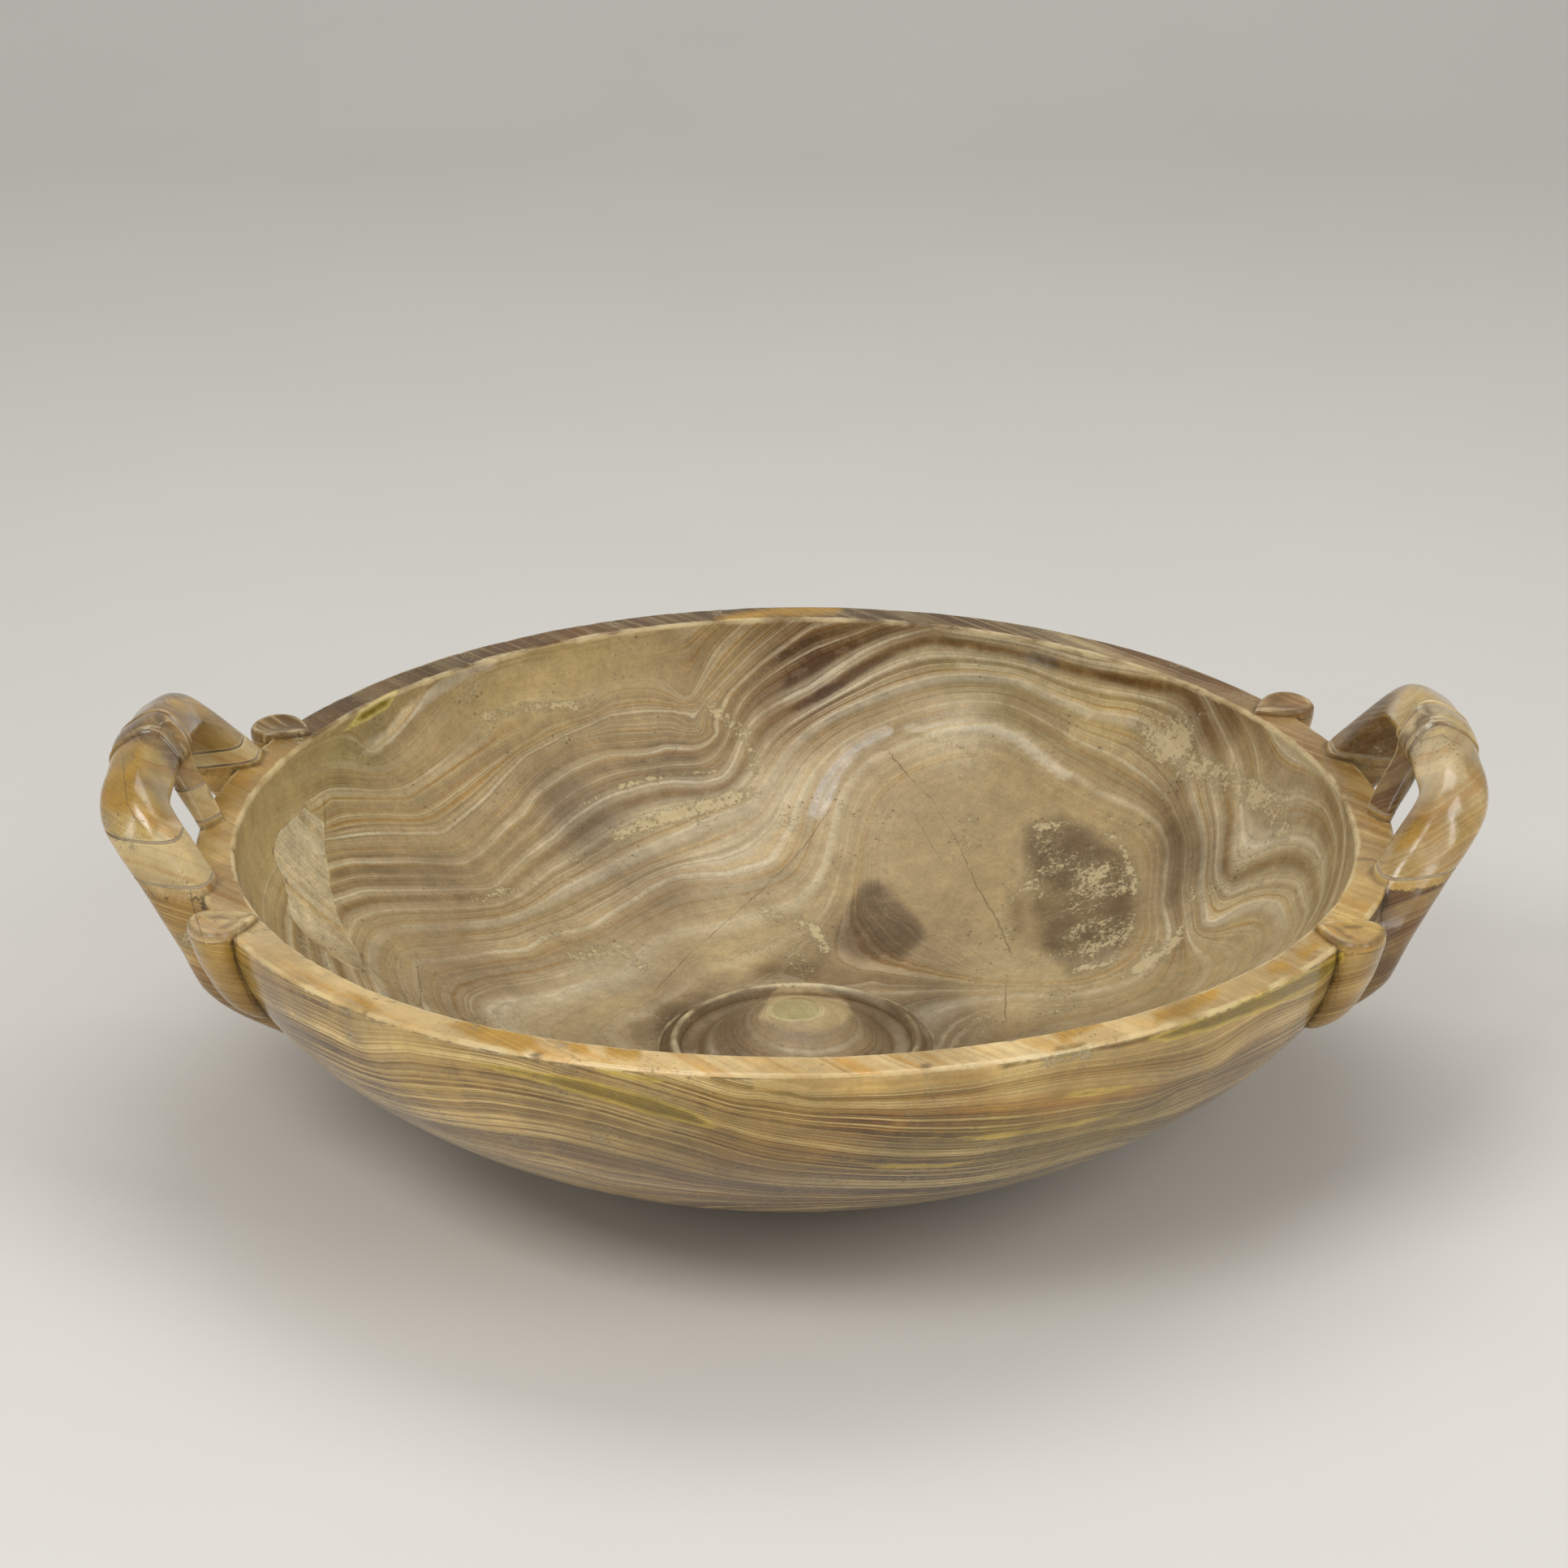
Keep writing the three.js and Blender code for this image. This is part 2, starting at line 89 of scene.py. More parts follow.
# Handles: spans are arcs along the rim, reach is measured outwards from the rim's edge
HANDLE_HALF_SPAN = 91
HANDLE_RISE = 42
HANDLE_REACH = 29
ROOT_DEPTH = 50
ROOT_INSET = 45
RIM_LEAN = 13.7
STRAP_WIDTH = 38
STRAP_THICKNESS = 32
ROOT_TAPER = 0.6
HANDLE_TURN = math.radians(1.35)
BEAD_WIDTH = 36
BEAD_EDGE = 0.06
BEAD_CROWN = 0.11
STRUT_ROOT_DEPTH = 22
STRUT_KEEL = 12.6
STRUT_BACK = 3.6
LOBE_HALF_WIDTH = 18
LOBE_REACH = 20
LOBE_CROWN = 5
LOBE_DEPTH = 58
LOBE_DISH = 2.6
BED_THICKNESS = 1.2
JOINT_THICKNESS = BED_THICKNESS + 2 * GAP
BED_GAP = 0.12
BED_INSET = 0.35
STEM_PIN_RADIUS = 4
STRUT_PIN_RADIUS = 3
PIN_DEPTH = 12
SIDES = [
    {"name": "left", "sign": -1, "strut": 14.5, "lobe": 24, "spliced": True},
    {"name": "right", "sign": 1, "strut": 16, "lobe": 52, "spliced": False},
]
STEM_X = (-1.5 * HANDLE_HALF_SPAN, HANDLE_REACH + STRAP_WIDTH)
BRANCHES = [
    {
        "name": "front", "x": STEM_X, "y": (-2 * HANDLE_HALF_SPAN, -0.4 * HANDLE_HALF_SPAN), "top": 23,
        "end": -1,
    },
    {
        "name": "centre", "x": (-2 * LIP_WIDTH, 0.72 * HANDLE_REACH),
        "y": (-0.24 * HANDLE_HALF_SPAN, 0.24 * HANDLE_HALF_SPAN), "top": 20, "end": 0,
    },
    {"name": "rear", "x": STEM_X, "y": (0.4 * HANDLE_HALF_SPAN, 2 * HANDLE_HALF_SPAN), "top": 11, "end": 1},
]

# How finely the handles and the plug are made: points along a line and round a section
STRAP_POINTS = 2401
STEM_POINTS = 4001
STRAP_SIDES = 72
BEAD_RINGS = 72
STEM_RINGS = 120
STRUT_RINGS = 66
STRUT_SIDES = 48
LOBE_SIDES = 72
PIN_SIDES = 24
PLUG_SIDES = 96
# Rolls and grooves at the bead's ends, as shares of its half width
BEAD_ROLL = {"place": 0.86, "width": 0.07, "height": 0.07}
BEAD_GROOVE = {"places": (0.7, 1), "width": 0.05}
# Swell and ripple of the worked surfaces, with the size of their blobs, in metres
SWELL_SIZE = 0.06
RIPPLE_SIZE = 0.012
UNEVEN = {
    "bowl": (0.0004, 0.00012), "strap": (0.0005, 0.00018), "strut": (0.0004, 0.00015),
    "lobe": (0.0006, 0.0002),
}

# Insert in the inner wall
INSERT_ANGLE = math.radians(169)
INSERT_DEPTH_BELOW_RIM = 65
INSERT_DEPTH = 10
INSERT_FRONT = 40
INSERT_HALF_WIDTH = 66
INSERT_RAGGED = {"step": 2.5, "size": 9, "push": 1.1}
INSERT_OUTLINE = [
    (-0.8, 0.26), (-0.26, -0.08), (0.09, -0.3), (0.39, -0.53), (0.61, -0.76), (0.88, -0.85), (1, -0.56),
    (1, -0.29), (0.92, -0.05), (0.42, 0.24), (0.27, 0.47), (-0.05, 0.55), (-0.68, 0.5),
]

# Camera, in metres, and the size of the photograph in pixels
PHOTO_SIZE = 1932
CAMERA_PLACE = (-0.0061, -2.329, 1.1735)
CAMERA_TURN = math.radians(0.27)
CAMERA_TILT = math.radians(22.4)
CAMERA_ROLL = math.radians(0.5)
LENS = 96.02
SENSOR = 36


def place_camera():
    """The camera at the photograph's point of view."""
    data = bpy.data.cameras.new("camera")
    data.lens = LENS
    data.sensor_width = SENSOR
    camera = bpy.data.objects.new("camera", data)
    turn = Matrix.Rotation(CAMERA_TURN, 4, "Z")
    tilt = Matrix.Rotation(math.pi / 2 - CAMERA_TILT, 4, "X")
    roll = Matrix.Rotation(-CAMERA_ROLL, 4, "Z")
    camera.matrix_world = turn @ Matrix.Translation(CAMERA_PLACE) @ tilt @ roll
    bpy.context.scene.collection.objects.link(camera)
    bpy.context.scene.camera = camera
    return camera


def pixel_ray(camera, pixel):
    """Start and direction of the line of sight through a pixel of the photograph."""
    scale = SENSOR / LENS / PHOTO_SIZE
    across = (pixel[0] - PHOTO_SIZE / 2) * scale
    up = (PHOTO_SIZE / 2 - pixel[1]) * scale
    turn = camera.matrix_world.to_3x3()
    return camera.matrix_world.translation, (turn @ Vector((across, up, -1))).normalized()


def pixels_of(camera, points):
    """Pixels of the photograph where points, in metres, are seen."""
    inverse = np.array(camera.matrix_world.inverted())
    local = points @ inverse[:3, :3].T + inverse[:3, 3]
    scale = LENS * PHOTO_SIZE / SENSOR / -local[:, 2:]
    return np.array([PHOTO_SIZE / 2, PHOTO_SIZE / 2]) + local[:, :2] * scale * [1, -1]


def wall_point(wall, angle):
    """Radius and height on a wall's curve, from 0 at the rim to a right angle at the axis."""
    radius = wall["radius"] * np.cos(angle) ** wall["across"]
    height = -wall["depth"] * np.sin(angle) ** wall["down"]
    return np.stack([radius, height], axis=-1)


def angle_at_radius(wall, radius):
    return math.acos((radius / wall["radius"]) ** (1 / wall["across"]))


def angle_at_height(wall, height):
    return np.arcsin(np.clip(-height / wall["depth"], 0, 1) ** (1 / wall["down"]))


def wall_height(wall, radius):
    return float(wall_point(wall, angle_at_radius(wall, radius))[1])


def wall_radius(wall, height):
    return wall_point(wall, angle_at_height(wall, height))[..., 0]


FOOT_TOP = wall_height(OUTER_WALL, FOOT_RADIUS)
UNDERSIDE = FOOT_TOP - FOOT_HEIGHT
FLOOR_LEVEL = wall_height(INNER_WALL, BOSS_RADIUS)


def saddle(height, angle):
    """How far the rim dips towards the handles and rises at front and back, fading to none at the foot."""
    share = (height - UNDERSIDE) / -UNDERSIDE
    return -RIM_SAG * np.cos(2 * angle) * share**2


def even_steps(points, step):
    """A line through points, divided evenly into steps no longer than the one given."""
    points = np.asarray(points, float)
    lengths = np.linalg.norm(np.diff(points, axis=0), axis=1)
    along = np.concatenate([[0], np.cumsum(lengths)])
    count = max(1, math.ceil(along[-1] / step))
    places = np.linspace(0, along[-1], count + 1)
    return np.stack([np.interp(places, along, column) for column in points.T], axis=1)


def wall_line(wall, start, end):
    """A wall's profile between two angles, in even steps."""
    return even_steps(wall_point(wall, np.linspace(start, end, 800)), WALL_STEP)


def lip_line():
    """Flat lip between its two rounded edges, from outside to inside."""
    turn = np.linspace(0, math.pi / 2, 6)[1:]
    inset = EDGE_ROUND * (1 - np.cos(turn))
    drop = EDGE_ROUND * (1 - np.sin(turn))
    outside = np.stack([RIM_RADIUS - inset, -drop], axis=1)
    inside = np.stack([INNER_WALL["radius"] + inset, -drop], axis=1)[::-1]
    flat = even_steps([outside[-1], inside[0]], WALL_STEP / 2)[1:-1]
    return np.vstack([outside, flat, inside])


def boss_line():
    """Floor from the boss's outer groove to the middle of its dome."""
    share = np.linspace(0, 1, 9)
    outer = [BOSS_RADIUS - OUTER_GROOVE_WIDTH * share, FLOOR_LEVEL - GROOVE_DEPTH * np.sin(math.pi * share)]
    share = np.linspace(0, 1, 15)[1:]
    ring = [RING_INNER + RING_WIDTH * (1 - share), FLOOR_LEVEL + RING_RISE * np.sin(math.pi * share) ** 0.8]
    share = np.linspace(0, 1, 9)[1:]
    groove = [RING_INNER - DOME_GROOVE_WIDTH * share, FLOOR_LEVEL - GROOVE_DEPTH * np.sin(math.pi * share)]
    radius = np.linspace(DOME_RADIUS, 0, 25)[1:]
    dome = [radius, dome_height(radius)]
    return np.hstack([outer, ring, groove, dome]).T


def dome_height(radius):
    return FLOOR_LEVEL + DOME_RISE * (1 - (radius / DOME_RADIUS) ** 2)


def bowl_profile():
    """Closed section of the bowl, from the middle of the foot over the lip to the middle of the boss."""
    bottom = even_steps([(0, UNDERSIDE), (FOOT_RADIUS - FOOT_BEVEL, UNDERSIDE)], 4 * WALL_STEP)
    bevel = [(FOOT_RADIUS, UNDERSIDE + FOOT_BEVEL)]
    lip_angle = angle_at_height(OUTER_WALL, -EDGE_ROUND)
    outer = wall_line(OUTER_WALL, angle_at_radius(OUTER_WALL, FOOT_RADIUS), lip_angle)
    lip_angle = angle_at_height(INNER_WALL, -EDGE_ROUND)
    inner = wall_line(INNER_WALL, lip_angle, angle_at_radius(INNER_WALL, BOSS_RADIUS))
    return np.vstack([bottom, bevel, outer, lip_line(), inner[:-1], boss_line()])


def revolve(profile, segments):
    """Points and faces of a profile turned round the axis, a fan closing each end."""
    turn = np.arange(segments) * (2 * math.pi / segments)
    radius = profile[1:-1, 0]
    height = np.repeat(profile[1:-1, 1], segments)
    across = [np.outer(radius, np.cos(turn)).ravel(), np.outer(radius, np.sin(turn)).ravel()]
    points = np.stack([*across, height], axis=1)
    points = np.vstack([points, [[0, 0, profile[0, 1]], [0, 0, profile[-1, 1]]]])
    return points, ring_faces(len(radius), segments)


def ring_faces(rings, count):
    """Faces between rings of points, with a fan to one more point at each end."""
    start = np.arange(rings - 1)[:, None] * count
    here = np.arange(count)
    beyond = (here + 1) % count
    quads = np.stack([start + here, start + beyond, start + count + beyond, start + count + here], axis=-1)
    faces = quads.reshape(-1, 4).tolist()
    last = (rings - 1) * count
    for i in range(count):
        faces.append([rings * count, (i + 1) % count, i])
        faces.append([rings * count + 1, last + i, last + (i + 1) % count])
    return faces


def loft(rings):
    """Points and faces of a closed skin through rings of points."""
    rings = np.asarray(rings)
    ends = np.stack([rings[0].mean(axis=0), rings[-1].mean(axis=0)])
    points = np.vstack([rings.reshape(-1, 3), ends])
    return points, ring_faces(len(rings), rings.shape[1])


def to_metres(points):
    """Millimetres from the rim's plane to metres from the underside."""
    return (np.asarray(points, float) - [0, 0, UNDERSIDE]) * MM


def to_millimetres(points):
    return np.asarray(points, float) / MM + [0, 0, UNDERSIDE]


def volume_inside(points, faces):
    """Volume inside closed faces, below 0 if they look inwards."""
    corners = [(face[0], face[i], face[i + 1]) for face in faces for i in range(1, len(face) - 1)]
    first, second, third = np.asarray(points)[np.array(corners)].transpose(1, 0, 2)
    return float((first * np.cross(second, third)).sum()) / 6


def add_piece(name, points, faces):
    """A mesh object from points in millimetres, its faces turned to look outwards."""
    if volume_inside(points, faces) < 0:
        faces = [face[::-1] for face in faces]
    mesh = bpy.data.meshes.new(name)
    mesh.from_pydata(to_metres(points).tolist(), [], faces)
    mesh.update()
    piece = bpy.data.objects.new(name, mesh)
    bpy.context.scene.collection.objects.link(piece)
    return piece


def copy_piece(name, piece):
    twin = bpy.data.objects.new(name, piece.data.copy())
    bpy.context.scene.collection.objects.link(twin)
    return twin


def drop(*pieces):
    for piece in pieces:
        bpy.data.objects.remove(piece)


def combine(piece, operation, *tools):
    """A piece joined to, cut by or kept within other closed pieces."""
    for tool in tools:
        change = piece.modifiers.new("combine", "BOOLEAN")
        change.operation = operation
        change.solver = "MANIFOLD"
        change.object = tool
    graph = bpy.context.evaluated_depsgraph_get()
    mesh = bpy.data.meshes.new_from_object(piece.evaluated_get(graph))
    piece.modifiers.clear()
    mesh.materials.clear()
    piece.data = mesh
    return piece


def points_of(piece):
    """The piece's points in metres."""
    points = np.empty(len(piece.data.vertices) * 3)
    piece.data.vertices.foreach_get("co", points)
    return points.reshape(-1, 3)


def normals_of(piece):
    normals = np.empty(len(piece.data.vertices) * 3, np.float32)
    piece.data.vertex_normals.foreach_get("vector", normals)
    return normals.reshape(-1, 3)


def set_points(piece, points):
    piece.data.vertices.foreach_set("co", np.asarray(points, np.float32).ravel())
    piece.data.update()


def noise_at(points, size, seed):
    """Smooth noise from -1 to 1 at points in metres, with blobs of about the size given in metres."""
    shift = Vector((seed * 7.3, seed * 3.1, seed * 5.7))
    return np.array([noise.noise(Vector(point) / size + shift) for point in points.tolist()])


def roughen(piece, swell, ripple):
    """Hand-worked unevenness: a slow swell and a finer ripple, square to the surface, in metres."""
    points = points_of(piece)
    height = swell * noise_at(points, SWELL_SIZE, 1) + ripple * noise_at(points, RIPPLE_SIZE, 2)
    set_points(piece, points + normals_of(piece) * height[:, None])


def on_rim(outwards, along, height):
    """Place beside the rim in a handle's own frame: outwards, along the rim and up."""
    angle = np.asarray(along) / RIM_RADIUS
    radius = RIM_RADIUS + np.asarray(outwards)
    return np.stack(np.broadcast_arrays(radius * np.cos(angle), radius * np.sin(angle), height), axis=-1)


def strap_knots():
    """Points that the strap's middle line passes, from the front root to the rear one."""
    half = [
        (-ROOT_INSET, 1.55, -1.56 * ROOT_DEPTH),
        (-0.31 * ROOT_INSET, 1.46, -ROOT_DEPTH),
        (-0.067 * ROOT_INSET, 1.23, -0.58 * ROOT_DEPTH),
        (RIM_LEAN, 1, 0),
        (HANDLE_REACH + 0.29 * RIM_LEAN, 0.733, 0.735 * HANDLE_RISE),
        (HANDLE_REACH + 0.1 * RIM_LEAN, 0.368, 0.965 * HANDLE_RISE),
    ]
    front = [on_rim(out, -along * HANDLE_HALF_SPAN, height) for out, along, height in half]
    rear = [on_rim(out, along * HANDLE_HALF_SPAN, height) for out, along, height in half[::-1]]
    return np.array([*front, on_rim(HANDLE_REACH, 0, HANDLE_RISE), *rear])


def smooth_stretch(before, start, end, after, share):
    """Points of the curve between two of four knots, spaced by the root of the distance between knots."""
    knots = [before, start, end, after]
    gaps = [math.sqrt(float(np.linalg.norm(b - a))) for a, b in zip(knots, knots[1:])]
    first = (start - before) / gaps[0] - (end - before) / (gaps[0] + gaps[1]) + (end - start) / gaps[1]
    last = (end - start) / gaps[1] - (after - start) / (gaps[1] + gaps[2]) + (after - end) / gaps[2]
    first = first * gaps[1]
    last = last * gaps[1]
    square = -3 * start + 3 * end - 2 * first - last
    cube = 2 * start - 2 * end + first + last
    share = share[:, None]
    return start + first * share + square * share**2 + cube * share**3


def strap_line(count):
    """The strap's middle line, its places from 0 to 1 spread evenly over the stretches between knots."""
    knots = strap_knots()
    padded = [2 * knots[0] - knots[1], *knots, 2 * knots[-1] - knots[-2]]
    places = np.linspace(0, 1, count)
    spots = np.minimum(places * (len(knots) - 1), len(knots) - 1 - 1e-9)
    line = np.zeros((count, 3))
    for i in range(len(knots) - 1):
        chosen = (spots >= i) & (spots < i + 1)
        line[chosen] = smooth_stretch(*padded[i:i + 4], spots[chosen] - i)
    return places, line


def bead_swell(share, turn):
    """Swell of the bead round the strap: an oval pad on the outside between two fine rolls."""
    away = np.abs(share - 0.5) * 2
    edge = 0.34 + 0.38 * np.clip(np.sin(turn), 0, 1) ** 0.5
    pad = np.sqrt(np.clip(1 - (away / edge) ** 2, 0, 1))
    roll = np.exp(-(((away - BEAD_ROLL["place"]) / BEAD_ROLL["width"]) ** 2))
    groove = sum(np.exp(-(((away - place) / BEAD_GROOVE["width"]) ** 2)) for place in BEAD_GROOVE["places"])
    height = BEAD_ROLL["height"]
    return 1 + BEAD_EDGE * 0.5 + BEAD_CROWN * pad + height * roll - height * groove


def strap_frame(places, line, chosen):
    """The strap's middle line at chosen places, with its directions across and up."""
    step = 1e-4
    centre, ahead, behind = [
        np.stack([np.interp(chosen + shift, places, column) for column in line.T], axis=1)
        for shift in (0, step, -step)
    ]
    along = (ahead - behind) / np.linalg.norm(ahead - behind, axis=1)[:, None]
    up = centre - [RIM_RADIUS, 0, 0]
    up -= along * (up * along).sum(axis=1)[:, None]
    up /= np.linalg.norm(up, axis=1)[:, None]
    return centre, np.cross(along, up), up


def strap_shape(grown):
    """The strap with its bead, full outside and flatter towards the hand."""
    places, line = strap_line(STRAP_POINTS)
    half_bead = BEAD_WIDTH / 2
    in_bead = np.abs(line[:, 1]) <= half_bead
    stems = np.linspace(0, places[in_bead][0], STEM_RINGS, endpoint=False)
    bead = np.linspace(places[in_bead][0], places[in_bead][-1], BEAD_RINGS)
    chosen = np.concatenate([stems, bead, 1 - stems[::-1]])
    centre, across, up = strap_frame(places, line, chosen)
    turn = np.linspace(0, 2 * math.pi, STRAP_SIDES, endpoint=False)
    wide = np.sign(np.cos(turn)) * np.abs(np.cos(turn)) ** np.where(np.sin(turn) > 0, 0.7, 0.48)
    high = np.sign(np.sin(turn)) * np.abs(np.sin(turn)) ** np.where(np.sin(turn) > 0, 0.85, 0.38)
    taper = np.minimum(1, ROOT_TAPER + 4 * np.minimum(chosen, 1 - chosen))
    swell = np.repeat(taper[:, None], len(turn), axis=1)
    share = (centre[:, 1] + half_bead) / BEAD_WIDTH
    beaded = (share > 0) & (share < 1)
    swell[beaded] = bead_swell(share[beaded][:, None], turn[None, :])
    sideways = across[:, None] * (wide * (swell * STRAP_WIDTH / 2 + grown))[..., None]
    upwards = up[:, None] * (high * (swell * STRAP_THICKNESS / 2 + grown))[..., None]
    return loft(centre[:, None] + sideways + upwards)


def smooth_levels(levels, chosen):
    """Levels of a lofted form at chosen heights, on curves through the given ones without overshoot."""
    table = np.array(levels, float)
    heights = table[:, 0]
    steps = np.diff(heights)
    slopes = np.diff(table, axis=0) / steps[:, None]
    middle = np.where(slopes[:-1] * slopes[1:] > 0, 0.5 * (slopes[:-1] + slopes[1:]), 0)
    bends = np.vstack([slopes[:1], middle, slopes[-1:]])
    sides = [np.abs(np.vstack(pair)) for pair in ([slopes[:1], slopes], [slopes, slopes[-1:]])]
    limit = 3 * np.minimum(*sides)
    bends = np.clip(bends, -limit, limit)
    place = np.clip(np.searchsorted(heights, chosen, side="right") - 1, 0, len(steps) - 1)
    share = ((chosen - heights[place]) / steps[place])[:, None]
    width = steps[place][:, None]
    return (
        table[place] * (1 + 2 * share) * (1 - share) ** 2
        + bends[place] * width * share * (1 - share) ** 2
        + table[place + 1] * share**2 * (3 - 2 * share)
        + bends[place + 1] * width * share**2 * (share - 1)
    )


def drop_ring(inner, outer, half_width, height, along, count):
    """A level outline, pointed towards the bowl and round outside."""
    turn = np.arange(count) * (2 * math.pi / count)
    angle = along / RIM_RADIUS
    radius = RIM_RADIUS + inner + (outer - inner) * (1 - np.cos(turn)) / 2
    sideways = 1.3 * half_width * np.sin(turn) * np.sin(turn / 2)
    x = radius * math.cos(angle) - sideways * math.sin(angle)
    y = radius * math.sin(angle) + sideways * math.cos(angle)
    return np.stack([x, y, np.full(count, height)], axis=1)


STRUT_LEVELS = [
    (-STRUT_ROOT_DEPTH, -1.59 * STRUT_KEEL, -0.79 * STRUT_KEEL, 0.8),
    (-RIM_SAG, -1.03 * STRUT_KEEL, 0.56 * STRUT_BACK, 1),
    (0, -STRUT_KEEL, STRUT_BACK, 1),
    (0.45 * HANDLE_RISE, HANDLE_REACH - 2.7 * STRUT_KEEL, HANDLE_REACH - 1.19 * STRUT_KEEL, 0.95),
    (0.8 * HANDLE_RISE, HANDLE_REACH - 2.14 * STRUT_KEEL, HANDLE_REACH - 0.71 * STRUT_KEEL, 0.95),
    (1.2 * HANDLE_RISE, HANDLE_REACH - 1.83 * STRUT_KEEL, HANDLE_REACH - 0.48 * STRUT_KEEL, 0.8),
    (1.48 * HANDLE_RISE, HANDLE_REACH - 1.11 * STRUT_KEEL, HANDLE_REACH - 0.4 * STRUT_KEEL, 0.5),
]
LOBE_LEVELS = [
    (-LOBE_DEPTH, -1.5 * LIP_WIDTH, -0.65 * LOBE_REACH, 0.5),
    (-0.86 * LOBE_DEPTH, -1.42 * LIP_WIDTH, -0.1 * LOBE_REACH, 0.75),
    (-0.5 * LOBE_DEPTH, -LIP_WIDTH, 0.55 * LOBE_REACH, 0.92),
    (-0.14 * LOBE_DEPTH, -0.77 * LIP_WIDTH, 0.925 * LOBE_REACH, 0.98),
    (0.06 * LOBE_CROWN, -0.875 * LIP_WIDTH, LOBE_REACH, 1),
    (0.6 * LOBE_CROWN, -0.84 * LIP_WIDTH, 0.96 * LOBE_REACH, 0.95),
    (0.93 * LOBE_CROWN, -0.7 * LIP_WIDTH, 0.82 * LOBE_REACH, 0.8),
    (LOBE_CROWN, -0.25 * LIP_WIDTH, 0.35 * LOBE_REACH, 0.4),
]


def strut_shape(half_width, grown):
    rings = []
    heights = np.linspace(STRUT_LEVELS[0][0], STRUT_LEVELS[-1][0], STRUT_RINGS)
    for height, keel, back, share in smooth_levels(STRUT_LEVELS, heights):
        wide = share * half_width + grown
        rings.append(drop_ring(keel - grown, back + grown, wide, height, 0, STRUT_SIDES))
    return loft(rings)


def lobe_shape(side, end):
    """Leaf-shaped lobe across the rim with a dished top, its body running down the outer wall."""
    along = end * (1.46 * HANDLE_HALF_SPAN + side["lobe"])
    seat = float(saddle(0, along / RIM_RADIUS))
    rings = []
    heights = np.concatenate([np.linspace(-LOBE_DEPTH, 0, 56)[:-1], np.linspace(0, LOBE_CROWN, 20)])
    for height, inner, outer, share in smooth_levels(LOBE_LEVELS, heights):
        dish = LOBE_DISH * max(0, 1 - (share / 0.88) ** 2) * (height > 0.1 * LOBE_CROWN)
        wide = share * LOBE_HALF_WIDTH
        rings.append(drop_ring(inner, outer, wide, height + seat - dish, along, LOBE_SIDES))
    points, faces = loft(rings)
    return points * [side["sign"], 1, 1], faces


def turned(points, side):
    """Points of the handle's own frame, on one side of the bowl."""
    cos = math.cos(HANDLE_TURN)
    sin = math.sin(HANDLE_TURN)
    x = points[:, 0] * cos - points[:, 1] * sin
    y = points[:, 0] * sin + points[:, 1] * cos
    return np.stack([x * side["sign"], y, points[:, 2]], axis=1)


def handle_piece(name, shape, side):
    """A shape of the handle's own frame as a piece on one side of the bowl."""
    points, faces = shape
    return add_piece(name, turned(points, side), faces)


def box_shape(x, y, z):
    corners = [(a, b, c) for c in z for b in y for a in x]
    faces = [[0, 2, 3, 1], [4, 5, 7, 6], [0, 1, 5, 4], [2, 6, 7, 3], [0, 4, 6, 2], [1, 3, 7, 5]]
    return np.array(corners, float), faces


def branch_block(branch, side, low, high):
    """Block round one branch of a handle between two heights."""
    x = [RIM_RADIUS + branch["x"][0], RIM_RADIUS + branch["x"][1]]
    return handle_piece("block", box_shape(x, branch["y"], (low, high)), side)


def stem_point(height, end):
    """Middle of a strap's stem at a height."""
    places, line = strap_line(STEM_POINTS)
    rising = places < 0.45
    spot = [np.interp(height, line[rising, 2], line[rising, i]) for i in range(3)]
    return np.array([spot[0], -end * spot[1], spot[2]])


def strut_point(height):
    """Thick of the strut at a height."""
    table = np.array(STRUT_LEVELS)
    keel, back = [np.interp(height, table[:, 0], table[:, i]) for i in (1, 2)]
    return on_rim(keel + 0.58 * (back - keel), 0, height)


def pin_shape(branch, top, grown):
    """Round bar along a branch, through its joints, grown by a clearance all round."""
    axis = strut_point if branch["end"] == 0 else lambda height: stem_point(height, branch["end"])
    start = axis(-PIN_DEPTH)
    end = axis(top + PIN_DEPTH)
    along = (end - start) / np.linalg.norm(end - start)
    side = np.cross(along, [0, 1, 0])
    side /= np.linalg.norm(side)
    other = np.cross(along, side)
    radius = (STRUT_PIN_RADIUS if branch["end"] == 0 else STEM_PIN_RADIUS) + grown
    turn = np.arange(PIN_SIDES) * (2 * math.pi / PIN_SIDES)
    ring = np.outer(np.cos(turn), side) + np.outer(np.sin(turn), other)
    return loft([start - along * grown + radius * ring, end + along * grown + radius * ring])


def whole_handle(side, grown, name):
    """Strap and strut of one handle as one body, before it is taken apart at its joints."""
    strap = handle_piece(name, strap_shape(grown), side)
    strut = handle_piece("strut", strut_shape(side["strut"], grown), side)
    if grown == 0:
        roughen(strap, *UNEVEN["strap"])
        roughen(strut, *UNEVEN["strut"])
    combine(strap, "UNION", strut)
    drop(strut)
    return strap


def cut_out(name, whole, block, hole):
    """The part of a body inside a block, with its pin hole."""
    piece = combine(copy_piece(name, whole), "INTERSECT", block)
    combine(piece, "DIFFERENCE", hole)
    drop(block)
    return piece


def branch_pieces(side, branch, top, whole, slim, hole):
    """The splice and the mortar beds of one branch of a handle, with their nodes."""
    label = f"{side['name']}_{branch['name']}"
    pieces = []
    seams = [("bed", 0)]
    if side["spliced"]:
        block = branch_block(branch, side, JOINT_THICKNESS, top)
        pieces.append((cut_out(f"{label}_splice_stone", whole, block, hole), f"{label}_splice"))
        seams = [("lower_bed", 0), ("upper_bed", top)]
    for seam, level in seams:
        block = branch_block(branch, side, level + BED_GAP, level + JOINT_THICKNESS - BED_GAP)
        pieces.append((cut_out(f"{label}_{seam}_fill", slim, block, hole), f"{label}_{seam}"))
    return pieces


